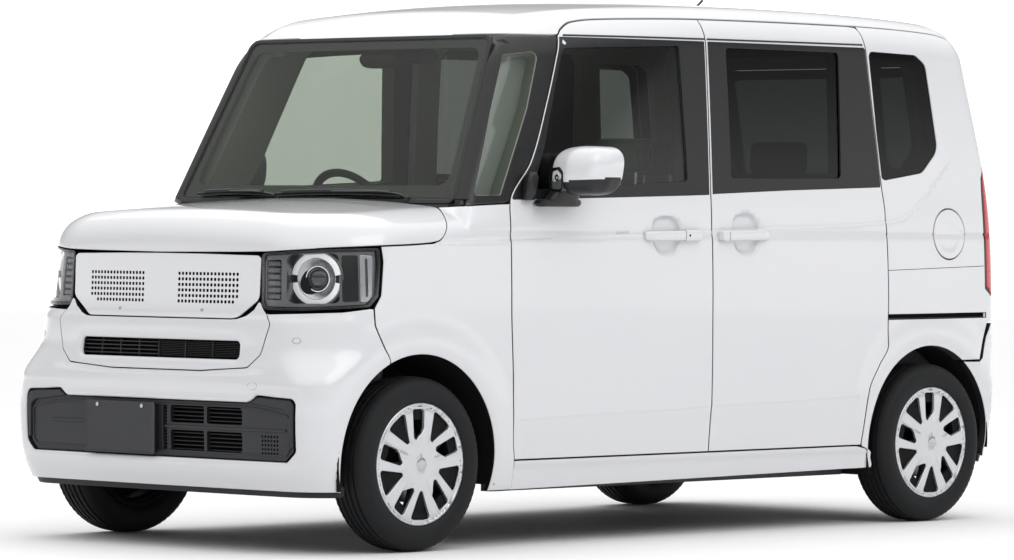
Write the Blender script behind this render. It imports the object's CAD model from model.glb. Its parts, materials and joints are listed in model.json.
import json
import math

import bmesh
import bpy
import numpy as np
from mathutils import Matrix, Vector
from mathutils.geometry import delaunay_2d_cdt

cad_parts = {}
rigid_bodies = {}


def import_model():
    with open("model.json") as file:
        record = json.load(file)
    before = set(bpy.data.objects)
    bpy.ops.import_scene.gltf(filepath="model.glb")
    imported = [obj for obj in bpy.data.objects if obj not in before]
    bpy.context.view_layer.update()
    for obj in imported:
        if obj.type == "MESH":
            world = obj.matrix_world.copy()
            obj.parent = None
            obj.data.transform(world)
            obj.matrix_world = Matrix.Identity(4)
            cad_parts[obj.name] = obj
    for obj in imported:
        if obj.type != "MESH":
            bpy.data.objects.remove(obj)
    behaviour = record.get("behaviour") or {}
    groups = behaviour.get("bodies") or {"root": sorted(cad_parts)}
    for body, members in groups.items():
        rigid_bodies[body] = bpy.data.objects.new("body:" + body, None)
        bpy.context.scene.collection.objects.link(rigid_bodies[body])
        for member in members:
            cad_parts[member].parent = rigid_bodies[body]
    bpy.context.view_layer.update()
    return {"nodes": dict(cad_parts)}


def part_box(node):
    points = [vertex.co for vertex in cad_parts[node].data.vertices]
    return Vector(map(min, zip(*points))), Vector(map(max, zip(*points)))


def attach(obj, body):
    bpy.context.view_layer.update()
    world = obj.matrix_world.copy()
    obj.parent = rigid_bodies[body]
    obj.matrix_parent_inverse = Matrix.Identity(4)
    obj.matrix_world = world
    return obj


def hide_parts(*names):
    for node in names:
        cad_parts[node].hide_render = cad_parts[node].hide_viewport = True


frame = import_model()
NODES = frame["nodes"]

# ============================================================ form of the car
# Lengths here are millimetres: X to the car's left, Y to the tail, Z up.


def pchip(xs, ys):
    xs = np.array(xs, float)
    ys = np.array(ys, float)
    n = len(xs)
    h = np.diff(xs)
    d = np.diff(ys) / h
    m = np.zeros(n)
    for i in range(1, n - 1):
        if d[i - 1] * d[i] > 0:
            w1 = 2 * h[i] + h[i - 1]
            w2 = h[i] + 2 * h[i - 1]
            m[i] = (w1 + w2) / (w1 / d[i - 1] + w2 / d[i])
    m[0] = d[0]
    m[-1] = d[-1]

    def f(t):
        t = np.clip(np.asarray(t, float), xs[0], xs[-1])
        i = np.clip(np.searchsorted(xs, t, side="right") - 1, 0, n - 2)
        hh = h[i]
        s = (t - xs[i]) / hh
        return (ys[i] * (1 + 2 * s) * (1 - s) ** 2 + hh * m[i] * s * (1 - s) ** 2
                + ys[i + 1] * s * s * (3 - 2 * s) + hh * m[i + 1] * s * s * (s - 1))
    return f


def smooth(a, b, t):
    u = np.clip((t - a) / (b - a), 0, 1)
    return u * u * (3 - 2 * u)


YA, YB, ZA = -1217.5, 1302.5, 275.0
WC = pchip([120, 170, 230, 281, 400, 500, 620, 779, 900, 980, 1050, 1134, 1300, 1500, 1651, 1760],
           [690, 708, 719, 725, 731, 733, 734, 734, 732, 729.5, 726, 721, 713, 702, 692, 684])
RC = pchip([-900, -800, -700, -550, -350, -100, 200, 500, 800, 1100, 1350, 1500, 1620, 1700],
           [1640, 1676, 1703, 1733, 1756, 1772, 1782, 1785, 1783, 1776, 1765, 1752, 1736, 1722])
YREAR = pchip([150, 300, 486, 700, 850, 1000, 1121, 1300, 1472, 1611, 1760],
              [1650, 1683, 1697.5, 1697.5, 1696, 1691, 1680, 1646, 1606, 1572, 1532])
YFRONT = pchip([150, 200, 250, 320, 430, 520, 600, 690, 725, 745, 920, 980, 1060],
               [-1640, -1664, -1684, -1695, -1697.5, -1692, -1685, -1680, -1676, -1668, -1660, -1656, -1650])
BC = pchip([-1700, -1500, -1300, -1100, -950], [1052, 1078, 1094, 1106, 1112])
RPLAN = pchip([150, 400, 520, 640, 834, 982, 1110], [130, 105, 110, 200, 235, 270, 300])
RFC = pchip([150, 520, 650, 1000], [1 / 16000., 1 / 16000., 1 / 5200., 1 / 4200.])
ROOF_SEAM = pchip([-740, -560, -517, -492, -436, -351, -200, 165, 614, 921, 1100, 1300, 1400, 1480, 1550],
                  [1640, 1640, 1642, 1661, 1686, 1697, 1704, 1713, 1715, 1714, 1711, 1704, 1697, 1678, 1650])
BSEAM = pchip([-1660, -1635, -1535, -1403, -1182, -1140, -1032, -1010],
              [931, 939, 951, 957.5, 967, 974, 1082, 1088])


def half_width(y, z):
    w = WC(z) - 13 * (np.abs(y - 50) / 1500.0) ** 2.4
    k = np.clip((z - 1100) / 540.0, 0, 1.1)
    a = 26 + 60 * k
    y1 = -430 + 430 * k
    y2 = -1000 + 262 * k
    t = np.clip((y1 - y) / (y1 - y2), 0, 1.6)
    w = w - smooth(1010, 1110, z) * a * t * t
    for yc in (YA - 3, YB - 9):
        rho = np.hypot(y - yc, z - 284)
        g = np.clip((470 - rho) / 104.0, 0, 1)
        g = g * g * (3 - 2 * g)
        w = w + 7.5 * g * smooth(1000, 640, z)
        w = w - 7 * np.clip((366 - rho) / 34.0, 0, 1) ** 1.6 * smooth(1000, 640, z)
    return w


def rmax(a, b, r):
    ua = np.maximum(a + r, 0)
    ub = np.maximum(b + r, 0)
    return np.minimum(np.maximum(a + r, b + r), 0) + np.sqrt(ua * ua + ub * ub) - r


def field(x, y, z):
    x = np.abs(x)
    s = x - half_width(y, z)
    fr = -(y - (YFRONT(z) + x * x * RFC(z) * 0.5))
    re = y - (YREAR(z) - x * x / 2 / 9000.0)
    rr = 45 + 30 * smooth(1100, 1600, z)
    low = rmax(rmax(rmax(s, fr, RPLAN(z)), re, rr), z - (BC(y) - x * x / 2 / 6500.0), 95.0)
    ws = -((y - (-998 + (z - 1100) * 0.487) - (14 * (x / 660.0) ** 2 - 14)) * 0.899)
    gh = rmax(rmax(s, ws, 38.0), re, rr)
    gh = rmax(gh, z - (RC(y) - x * x / 2 / 6500.0), 120.0)
    return np.minimum(low, np.maximum(gh, 1000 - z))


def along(o, d, lo, hi):
    """Distance from points o along directions d to the outer form."""
    lo = np.full(len(o), float(lo))
    hi = np.full(len(o), float(hi))
    for _ in range(12):
        m = (lo + hi) / 2
        p = o + d * m[:, None]
        inside = field(p[:, 0], p[:, 1], p[:, 2]) < 0
        lo = np.where(inside, m, lo)
        hi = np.where(inside, hi, m)
    return polish(o, d, lo, hi)


def polish(o, d, lo, hi):
    """Closes a narrow bracket round the surface by false position."""
    def f(t):
        p = o + d * t[:, None]
        return field(p[:, 0], p[:, 1], p[:, 2])
    fl_, fh_ = f(lo), f(hi)
    for _ in range(3):
        den = fh_ - fl_
        den = np.where(np.abs(den) < 1e-12, 1.0, den)
        m = np.clip(lo - fl_ * (hi - lo) / den, lo, hi)
        fm = f(m)
        ins = fm < 0
        lo, fl_ = np.where(ins, m, lo), np.where(ins, fm, fl_)
        hi, fh_ = np.where(ins, hi, m), np.where(ins, fh_, fm)
    den = fh_ - fl_
    den = np.where(np.abs(den) < 1e-12, 1.0, den)
    return np.clip(lo - fl_ * (hi - lo) / den, lo, hi)


def along_first(o, d, lo, hi, n=60):
    """As along, to the first place where the way leaves the form."""
    t = np.full(len(o), float(hi))
    found = np.zeros(len(o), bool)
    step = (hi - lo) / n
    for i in range(1, n + 1):
        p = o + d * (lo + i * step)
        out = (field(p[:, 0], p[:, 1], p[:, 2]) > 0) & ~found
        t[out] = lo + i * step
        found |= out
    a, b = t - step, t.copy()
    for _ in range(6):
        m = (a + b) / 2
        p = o + d * m[:, None]
        ins = field(p[:, 0], p[:, 1], p[:, 2]) < 0
        a = np.where(ins, m, a)
        b = np.where(ins, b, m)
    return polish(o, d, a, b)


# the shoulder line along the side, its height against length
LINE_Y = [-1182, -824, -199, 83, 150, 428, 1043, 1130, 1181, 1263, 1337, 1381, 1420, 1470]
LINE_Z = [967.7, 977.5, 998, 1005.8, 1008.6, 1019, 1041.2, 1054, 1073.9, 1132.3, 1190.4, 1227.5, 1262, 1310]
LINE = pchip(LINE_Y, LINE_Z)
CREASE = pchip([-900, -792, -403, 82, 900, 1000], [402, 405.3, 414.7, 426.2, 446, 450])


def relief(y, z):
    """How far the side stands in from the plain form: a fold above the
    shoulder line and a hollow under the low crease of the doors."""
    d = z - LINE(y)
    strength = 3.2 * smooth(-1215, -1150, y) * (1 - smooth(1230, 1440, y))
    r = strength * np.where(d > 0, np.exp(-np.maximum(d, 0) / 34.0), smooth(-3.0, 0.0, d))
    c = CREASE(y) - z
    low = np.clip(c / 150.0, 0, 1)
    fade = smooth(-830, -760, y) * (1 - smooth(900, 1000, y))
    return r + fade * (6.5 * (1 - (1 - low) ** 2) + 1.2 * smooth(0, 5, c))


# ------------------------------------------------------------ ways to unfold
class SideMap:
    """(y, z) to the left side."""
    def __init__(self, off=0.0, use_relief=True):
        self.off, self.rel = off, use_relief

    def __call__(self, u, v):
        o = np.stack([np.zeros_like(u), u, v], 1)
        d = np.tile([1.0, 0, 0], (len(u), 1))
        x = along(o, d, 200, 900) - self.off
        if self.rel:
            x = x - relief(u, v)
        return np.stack([x, u, v], 1)

    def back(self, p):
        return p[:, 1:3].copy()


class FrontMap:
    def __init__(self, off=0.0):
        self.off = off

    def __call__(self, u, v):
        o = np.stack([u, np.full_like(u, -900.0), v], 1)
        d = np.tile([0, -1.0, 0], (len(u), 1))
        t = along(o, d, 0, 900) - self.off
        return np.stack([u, -900 - t, v], 1)

    def back(self, p):
        return p[:, [0, 2]].copy()


class RearMap:
    def __init__(self, off=0.0):
        self.off = off

    def __call__(self, u, v):
        o = np.stack([u, np.full_like(u, 1000.0), v], 1)
        d = np.tile([0, 1.0, 0], (len(u), 1))
        t = along(o, d, 0, 800) - self.off
        return np.stack([u, 1000 + t, v], 1)

    def back(self, p):
        return p[:, [0, 2]].copy()


class RadialMap:
    """(angle times r0, z) round a vertical line; angle 0 is the nose, 90 the left side."""
    def __init__(self, cx, cy, r0, off=0.0):
        self.cx, self.cy, self.r0, self.off = cx, cy, r0, off

    def __call__(self, u, v):
        a = u / self.r0
        d = np.stack([np.sin(a), -np.cos(a), np.zeros_like(a)], 1)
        o = np.stack([np.full_like(u, self.cx), np.full_like(u, self.cy), v], 1)
        t = along(o, d, 0, 1500) - self.off
        return o + d * t[:, None]

    def back(self, p):
        a = np.arctan2(p[:, 0] - self.cx, -(p[:, 1] - self.cy))
        return np.stack([a * self.r0, p[:, 2]], 1)


class DomeMap:
    """Equal steps of angle away from straight up, seen from a point inside."""
    def __init__(self, c, r0, off=0.0, hi=900):
        self.c, self.r0, self.off, self.hi = np.array(c, float), r0, off, hi

    def __call__(self, u, v):
        q = np.hypot(u, v) / self.r0
        k = np.where(q > 1e-9, np.sin(q) / np.maximum(q, 1e-9), 1.0) / self.r0
        d = np.stack([u * k, v * k, np.cos(q)], 1)
        o = np.tile(self.c, (len(u), 1))
        t = along_first(o, d, 100, self.hi, 40) - self.off
        return o + d * t[:, None]

    def back(self, p):
        w = p - self.c
        w = w / np.linalg.norm(w, axis=1)[:, None]
        q = np.arccos(np.clip(w[:, 2], -1, 1))
        s = np.maximum(np.hypot(w[:, 0], w[:, 1]), 1e-9)
        return np.stack([w[:, 0] / s * q * self.r0, w[:, 1] / s * q * self.r0], 1)


class RoofMap:
    """(angle across times r0, y) seen from a line inside the roof."""
    def __init__(self, zc, r0, off=0.0):
        self.zc, self.r0, self.off = zc, r0, off

    def __call__(self, u, v):
        a = u / self.r0
        d = np.stack([np.sin(a), np.zeros_like(a), np.cos(a)], 1)
        o = np.stack([np.zeros_like(u), v, np.full_like(u, self.zc)], 1)
        t = along(o, d, 0, 1200) - self.off
        return o + d * t[:, None]

    def back(self, p):
        return np.stack([np.arctan2(p[:, 0], p[:, 2] - self.zc) * self.r0, p[:, 1]], 1)


class FlatMap:
    """(a, b) on a plane or a shallow dish: origin, two axes, and a height along their normal."""
    def __init__(self, o, e1, e2, height=None):
        self.o = np.array(o, float)
        self.e1 = np.array(e1, float) / np.linalg.norm(e1)
        self.e2 = np.array(e2, float) / np.linalg.norm(e2)
        self.n = np.cross(self.e1, self.e2)
        self.h = height

    def __call__(self, u, v):
        p = self.o + u[:, None] * self.e1 + v[:, None] * self.e2
        if self.h is not None:
            p = p + self.h(u, v)[:, None] * self.n
        return p

    def back(self, p):
        q = p - self.o
        return np.stack([q @ self.e1, q @ self.e2], 1)


class ScreenMap:
    """(x, z) on the windscreen."""
    def __init__(self, off=0.0):
        self.off = off

    def __call__(self, u, v):
        return np.stack([u, -998 + (v - 1100) * 0.487 + 14 * (u / 660.0) ** 2 - 14 + self.off, v], 1)

    def back(self, p):
        return p[:, [0, 2]].copy()


# ------------------------------------------------------------------ outlines
def rounded(points, step=7.0):
    """Corner points (a, b[, radius]) to a dense closed line."""
    n = len(points)
    out = []
    for i in range(n):
        p = points[i]
        a = points[i - 1]
        b = points[(i + 1) % n]
        r = p[2] if len(p) > 2 else 0.0
        if r <= 0:
            out.append((p[0], p[1]))
            continue
        ax, ay = a[0] - p[0], a[1] - p[1]
        bx, by = b[0] - p[0], b[1] - p[1]
        la, lb = math.hypot(ax, ay), math.hypot(bx, by)
        ax, ay, bx, by = ax / la, ay / la, bx / lb, by / lb
        ang = math.acos(max(-1.0, min(1.0, ax * bx + ay * by)))
        t = min(r / math.tan(ang / 2), 0.48 * la, 0.48 * lb)
        r = t * math.tan(ang / 2)
        ml = math.hypot(ax + bx, ay + by)
        cx = p[0] + (ax + bx) / ml * r / math.sin(ang / 2)
        cy = p[1] + (ay + by) / ml * r / math.sin(ang / 2)
        s0 = math.atan2(p[1] + ay * t - cy, p[0] + ax * t - cx)
        s1 = math.atan2(p[1] + by * t - cy, p[0] + bx * t - cx)
        ds = (s1 - s0 + math.pi) % (2 * math.pi) - math.pi
        k = max(3, int(abs(ds) * r / min(step, 4.0)) + 1)
        for j in range(k + 1):
            s = s0 + ds * j / k
            out.append((cx + r * math.cos(s), cy + r * math.sin(s)))
    return densify(out, step)


def densify(pts, step=7.0, closed=True):
    out = []
    n = len(pts)
    for i in range(n if closed else n - 1):
        a, b = pts[i], pts[(i + 1) % n]
        d = math.hypot(b[0] - a[0], b[1] - a[1])
        if d < 1e-6:
            continue
        k = max(1, int(round(d / step)))
        for j in range(k):
            out.append((a[0] + (b[0] - a[0]) * j / k, a[1] + (b[1] - a[1]) * j / k))
    if not closed:
        out.append(pts[-1])
    return np.array(out)


def loop_from(fmap, *parts):
    """3-D runs, given as (map, 2-D points), to one closed line of fmap's own plane."""
    out = []
    for src, pts in parts:
        pts = np.asarray(pts, float)
        if src is None:
            out.append(pts)
            continue
        out.append(fmap.back(src(pts[:, 0].copy(), pts[:, 1].copy())))
    q = np.vstack(out)
    keep = [0]
    for i in range(1, len(q)):
        if np.hypot(*(q[i] - q[keep[-1]])) > 1.5:
            keep.append(i)
    if np.hypot(*(q[keep[-1]] - q[0])) < 1.5:
        keep.pop()
    return q[keep]


def run(f, a, b, n):
    """Points (f(t), t) for a seam given as length against height."""
    t = np.linspace(a, b, n)
    return np.stack([f(t), t], 1)


def runy(f, a, b, n):
    t = np.linspace(a, b, n)
    return np.stack([t, f(t)], 1)


def circle(cx, cy, r, n=40, a0=0.0):
    t = np.linspace(0, 2 * math.pi, n, endpoint=False) + a0
    return np.stack([cx + r * np.cos(t), cy + r * np.sin(t)], 1)


def area2(q):
    x, y = q[:, 0], q[:, 1]
    return 0.5 * np.sum(x * np.roll(y, -1) - np.roll(x, -1) * y)


def inside(q, pts):
    """Even-odd test of pts against closed line q."""
    x, y = pts[:, 0], pts[:, 1]
    res = np.zeros(len(pts), bool)
    x1, y1 = q[:, 0], q[:, 1]
    x2, y2 = np.roll(x1, -1), np.roll(y1, -1)
    for i in range(len(q)):
        if y1[i] == y2[i]:
            continue
        c = (y1[i] > y) != (y2[i] > y)
        if not c.any():
            continue
        res ^= c & (x < (x2[i] - x1[i]) * (y - y1[i]) / (y2[i] - y1[i]) + x1[i])
    return res


def near(q, pts, d):
    """True where pts come within d of the points of q."""
    res = np.zeros(len(pts), bool)
    for s in range(0, len(pts), 4000):
        p = pts[s:s + 4000]
        dd = (p[:, None, 0] - q[None, :, 0]) ** 2 + (p[:, None, 1] - q[None, :, 1]) ** 2
        res[s:s + 4000] = dd.min(1) < d * d
    return res


# ----------------------------------------------------------------- materials
MAT = {}


def material(name, base, rough=0.5, metal=0.0, vary=0.06, scale=120.0, bump=0.0, bump_scale=None,
             coat=0.0, coat_rough=0.05, rough_vary=0.08, emission=None, strength=0.0, sheen=0.0, detail=4.0,
             kind="noise", spec=0.5, dark=None):
    """Surface of one finish: colour and roughness wander with a noise in the
    object's own space, and a fine relief comes from a second one."""
    m = bpy.data.materials.new(name)
    m.use_nodes = True
    nt = m.node_tree
    nt.nodes.clear()
    out = nt.nodes.new("ShaderNodeOutputMaterial")
    p = nt.nodes.new("ShaderNodeBsdfPrincipled")
    nt.links.new(p.outputs[0], out.inputs[0])
    tc = nt.nodes.new("ShaderNodeTexCoord")
    no = nt.nodes.new("ShaderNodeTexNoise")
    no.inputs["Scale"].default_value = scale
    no.inputs["Detail"].default_value = detail
    nt.links.new(tc.outputs["Object"], no.inputs["Vector"])
    ramp = nt.nodes.new("ShaderNodeValToRGB")
    b = np.array(base[:3], float)
    lo = np.clip(b * (1 - vary), 0, 1) if dark is None else np.array(dark, float)
    hi = np.clip(b * (1 + vary), 0, 1)
    ramp.color_ramp.elements[0].position = 0.3
    ramp.color_ramp.elements[0].color = (*lo, 1)
    ramp.color_ramp.elements[1].position = 0.7
    ramp.color_ramp.elements[1].color = (*hi, 1)
    nt.links.new(no.outputs["Fac"], ramp.inputs["Fac"])
    nt.links.new(ramp.outputs["Color"], p.inputs["Base Color"])
    mr = nt.nodes.new("ShaderNodeMapRange")
    mr.inputs["To Min"].default_value = max(0.0, rough * (1 - rough_vary))
    mr.inputs["To Max"].default_value = min(1.0, rough * (1 + rough_vary))
    nt.links.new(no.outputs["Fac"], mr.inputs["Value"])
    nt.links.new(mr.outputs["Result"], p.inputs["Roughness"])
    p.inputs["Metallic"].default_value = metal
    p.inputs["Coat Weight"].default_value = coat
    p.inputs["Coat Roughness"].default_value = coat_rough
    p.inputs["Sheen Weight"].default_value = sheen
    p.inputs["Specular IOR Level"].default_value = spec
    if bump > 0:
        if kind == "voronoi":
            n2 = nt.nodes.new("ShaderNodeTexVoronoi")
            n2.inputs["Scale"].default_value = bump_scale or scale * 4
            src = n2.outputs["Distance"]
        elif kind == "weave":
            wa = nt.nodes.new("ShaderNodeTexWave")
            wa.inputs["Scale"].default_value = bump_scale or 300
            wa.bands_direction = "X"
            wb = nt.nodes.new("ShaderNodeTexWave")
            wb.inputs["Scale"].default_value = bump_scale or 300
            wb.bands_direction = "Z"
            nt.links.new(tc.outputs["Object"], wa.inputs["Vector"])
            nt.links.new(tc.outputs["Object"], wb.inputs["Vector"])
            mx = nt.nodes.new("ShaderNodeMath")
            mx.operation = "MULTIPLY"
            nt.links.new(wa.outputs["Fac"], mx.inputs[0])
            nt.links.new(wb.outputs["Fac"], mx.inputs[1])
            src = mx.outputs[0]
            n2 = None
        else:
            n2 = nt.nodes.new("ShaderNodeTexNoise")
            n2.inputs["Scale"].default_value = bump_scale or scale * 4
            n2.inputs["Detail"].default_value = 3.0
            src = n2.outputs["Fac"]
        if n2 is not None:
            nt.links.new(tc.outputs["Object"], n2.inputs["Vector"])
        bp = nt.nodes.new("ShaderNodeBump")
        bp.inputs["Strength"].default_value = min(1.0, bump)
        bp.inputs["Distance"].default_value = 0.0006
        nt.links.new(src, bp.inputs["Height"])
        nt.links.new(bp.outputs["Normal"], p.inputs["Normal"])
    if emission is not None:
        p.inputs["Emission Color"].default_value = (*emission, 1)
        p.inputs["Emission Strength"].default_value = strength
    MAT[name] = m
    return m


def paint_material():
    m = bpy.data.materials.new("pearl_white_paint")
    m.use_nodes = True
    nt = m.node_tree
    p = nt.nodes["Principled BSDF"]
    tc = nt.nodes.new("ShaderNodeTexCoord")
    flake = nt.nodes.new("ShaderNodeTexVoronoi")
    flake.inputs["Scale"].default_value = 2600
    nt.links.new(tc.outputs["Object"], flake.inputs["Vector"])
    cloud = nt.nodes.new("ShaderNodeTexNoise")
    cloud.inputs["Scale"].default_value = 3.0
    cloud.inputs["Detail"].default_value = 2.0
    nt.links.new(tc.outputs["Object"], cloud.inputs["Vector"])
    r1 = nt.nodes.new("ShaderNodeValToRGB")
    r1.color_ramp.elements[0].color = (0.585, 0.59, 0.61, 1)
    r1.color_ramp.elements[1].color = (0.64, 0.64, 0.652, 1)
    nt.links.new(flake.outputs["Color"], r1.inputs["Fac"])
    r2 = nt.nodes.new("ShaderNodeValToRGB")
    r2.color_ramp.elements[0].color = (0.975, 0.98, 0.99, 1)
    r2.color_ramp.elements[1].color = (1, 1, 1, 1)
    nt.links.new(cloud.outputs["Fac"], r2.inputs["Fac"])
    mix = nt.nodes.new("ShaderNodeMix")
    mix.data_type = "RGBA"
    mix.blend_type = "MULTIPLY"
    mix.inputs[0].default_value = 1.0
    nt.links.new(r1.outputs["Color"], mix.inputs[6])
    nt.links.new(r2.outputs["Color"], mix.inputs[7])
    nt.links.new(mix.outputs[2], p.inputs["Base Color"])
    mr = nt.nodes.new("ShaderNodeMapRange")
    mr.inputs["To Min"].default_value = 0.3
    mr.inputs["To Max"].default_value = 0.42
    nt.links.new(flake.outputs["Distance"], mr.inputs["Value"])
    nt.links.new(mr.outputs["Result"], p.inputs["Roughness"])
    p.inputs["Metallic"].default_value = 0.0
    p.inputs["Coat Weight"].default_value = 1.0
    p.inputs["Coat Roughness"].default_value = 0.03
    p.inputs["Coat IOR"].default_value = 1.5
    MAT["paint"] = m
    return m


def pane_material(name, tint, gloss_rough=0.0, reflect=1.0, body=(0.0, 0.0, 0.0), body_mix=0.0):
    """Window glass: what is behind shows through its tint, the face reflects."""
    m = bpy.data.materials.new(name)
    m.use_nodes = True
    nt = m.node_tree
    nt.nodes.clear()
    out = nt.nodes.new("ShaderNodeOutputMaterial")
    tr = nt.nodes.new("ShaderNodeBsdfTransparent")
    tc = nt.nodes.new("ShaderNodeTexCoord")
    no = nt.nodes.new("ShaderNodeTexNoise")
    no.inputs["Scale"].default_value = 2.0
    nt.links.new(tc.outputs["Object"], no.inputs["Vector"])
    ramp = nt.nodes.new("ShaderNodeValToRGB")
    t = np.array(tint)
    ramp.color_ramp.elements[0].color = (*(t * 0.97), 1)
    ramp.color_ramp.elements[1].color = (*np.clip(t * 1.03, 0, 1), 1)
    nt.links.new(no.outputs["Fac"], ramp.inputs["Fac"])
    nt.links.new(ramp.outputs["Color"], tr.inputs["Color"])
    gl = nt.nodes.new("ShaderNodeBsdfGlossy")
    gl.inputs["Color"].default_value = (1, 1, 1, 1)
    gl.inputs["Roughness"].default_value = gloss_rough
    lw = nt.nodes.new("ShaderNodeLayerWeight")
    lw.inputs["Blend"].default_value = 0.5
    po = nt.nodes.new("ShaderNodeMath")
    po.operation = "POWER"
    po.inputs[1].default_value = 5.0
    nt.links.new(lw.outputs["Facing"], po.inputs[0])
    sc = nt.nodes.new("ShaderNodeMath")
    sc.operation = "MULTIPLY_ADD"
    sc.inputs[1].default_value = 0.96 * reflect
    sc.inputs[2].default_value = 0.04 * reflect
    nt.links.new(po.outputs[0], sc.inputs[0])
    mx = nt.nodes.new("ShaderNodeMixShader")
    nt.links.new(sc.outputs[0], mx.inputs[0])
    nt.links.new(tr.outputs[0], mx.inputs[1])
    nt.links.new(gl.outputs[0], mx.inputs[2])
    last = mx
    if body_mix > 0:
        df = nt.nodes.new("ShaderNodeBsdfDiffuse")
        df.inputs["Color"].default_value = (*body, 1)
        m2 = nt.nodes.new("ShaderNodeMixShader")
        m2.inputs[0].default_value = body_mix
        nt.links.new(mx.outputs[0], m2.inputs[1])
        nt.links.new(df.outputs[0], m2.inputs[2])
        last = m2
    nt.links.new(last.outputs[0], out.inputs[0])
    MAT[name] = m
    return m


paint_material()
material("trim_black", (0.010, 0.0105, 0.0115), 0.34, vary=0.12, scale=40, coat=0.12, coat_rough=0.12, spec=0.3)
material("trim_gloss", (0.006, 0.006, 0.007), 0.12, vary=0.1, scale=30, coat=0.4, spec=0.4)
material("rubber_seal", (0.012, 0.012, 0.013), 0.6, vary=0.15, scale=200, bump=0.2, bump_scale=900)
material("plastic_dark", (0.014, 0.0145, 0.016), 0.5, spec=0.3, vary=0.1, scale=150, bump=0.35, bump_scale=1500, kind="voronoi")
material("plastic_grey", (0.022, 0.023, 0.026), 0.45, spec=0.35, vary=0.06, scale=90, bump=0.22, bump_scale=1800, kind="voronoi")
material("plate_grey", (0.026, 0.027, 0.030), 0.42, spec=0.35, vary=0.05, scale=60, bump=0.1, bump_scale=700)
material("void_black", (0.004, 0.004, 0.0045), 0.85, vary=0.2, scale=60, spec=0.1)
material("liner_felt", (0.008, 0.008, 0.0085), 0.95, vary=0.3, scale=300, bump=0.8, bump_scale=1200, spec=0.15)
material("cabin_plastic", (0.03, 0.0295, 0.0275), 0.55, vary=0.08, scale=130, bump=0.35, bump_scale=1400, kind="voronoi")
material("cabin_light", (0.42, 0.415, 0.39), 0.75, vary=0.05, scale=150, bump=0.25, bump_scale=1200)
material("headliner", (0.36, 0.36, 0.335), 0.9, vary=0.05, scale=260, bump=0.5, bump_scale=1600)
material("leather_dark", (0.022, 0.022, 0.023), 0.45, vary=0.12, scale=90, bump=0.4, bump_scale=1600, kind="voronoi")
material("belt_cloth", (0.03, 0.03, 0.031), 0.75, vary=0.15, scale=500, bump=0.6, bump_scale=900, kind="weave")
material("seat_fabric", (0.095, 0.098, 0.092), 0.85, vary=0.22, scale=420, bump=0.9, bump_scale=420, kind="weave", sheen=0.4)
material("seat_side", (0.045, 0.046, 0.045), 0.8, vary=0.2, scale=380, bump=0.7, bump_scale=520, kind="weave", sheen=0.3)
material("carpet", (0.03, 0.03, 0.03), 0.95, vary=0.35, scale=500, bump=1.0, bump_scale=1500, sheen=0.2)
material("tyre_rubber", (0.009, 0.0095, 0.0105), 0.66, vary=0.18, scale=70, bump=0.3, bump_scale=900, rough_vary=0.12, spec=0.22)
material("wheel_silver", (0.56, 0.57, 0.585), 0.3, metal=0.75, vary=0.03, scale=500, bump=0.06, bump_scale=3000, coat=0.5, coat_rough=0.06)
material("wheel_dark", (0.006, 0.006, 0.0065), 0.7, vary=0.25, scale=60, spec=0.15)
material("steel_under", (0.045, 0.046, 0.048), 0.6, metal=0.4, vary=0.25, scale=30, bump=0.3, bump_scale=200)
material("cast_metal", (0.16, 0.16, 0.165), 0.55, metal=0.8, vary=0.2, scale=50, bump=0.6, bump_scale=350)
material("exhaust_steel", (0.2, 0.19, 0.18), 0.4, metal=0.9, vary=0.25, scale=20, bump=0.15, bump_scale=150)
material("brake_steel", (0.28, 0.28, 0.285), 0.35, metal=0.95, vary=0.15, scale=80, bump=0.2, bump_scale=600)
material("chrome", (0.7, 0.71, 0.72), 0.08, metal=1.0, vary=0.03, scale=20)
material("chrome_soft", (0.46, 0.47, 0.48), 0.24, metal=0.9, vary=0.05, scale=40)
material("lamp_white", (0.86, 0.87, 0.88), 0.35, vary=0.03, scale=60, emission=(0.95, 0.98, 1.0), strength=0.12, coat=0.6)
material("lamp_grey", (0.13, 0.133, 0.138), 0.3, metal=0.3, vary=0.06, scale=80)
material("lamp_dark", (0.03, 0.032, 0.035), 0.22, vary=0.1, scale=60, coat=0.6)
material("lamp_rib", (0.11, 0.11, 0.115), 0.28, metal=0.6, vary=0.1, scale=60)
material("projector", (0.02, 0.024, 0.03), 0.03, vary=0.2, scale=30, coat=1.0, coat_rough=0.0, metal=0.2)
material("red_inner", (0.38, 0.006, 0.008), 0.28, vary=0.12, scale=50, emission=(0.8, 0.01, 0.01), strength=0.06, coat=1.0, coat_rough=0.02)
material("red_deep", (0.16, 0.004, 0.005), 0.3, vary=0.15, scale=50, coat=1.0, coat_rough=0.02)
material("amber_lens", (0.55, 0.2, 0.03), 0.2, vary=0.1, scale=60, coat=0.8)
material("mirror_glass", (0.72, 0.74, 0.76), 0.02, metal=1.0, vary=0.01, scale=10)
material("plate_white", (0.78, 0.785, 0.78), 0.4, vary=0.02, scale=60, bump=0.05, bump_scale=400)
material("frit", (0.006, 0.006, 0.0065), 0.15, vary=0.2, scale=60, coat=0.9, coat_rough=0.02)
pane_material("glass_screen", (0.70, 0.725, 0.69), reflect=0.55)
pane_material("glass_front", (0.66, 0.69, 0.66), reflect=0.6)
pane_material("glass_privacy", (0.29, 0.30, 0.30), reflect=0.5)
pane_material("glass_lens", (0.97, 0.975, 0.98), reflect=0.5)


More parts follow.
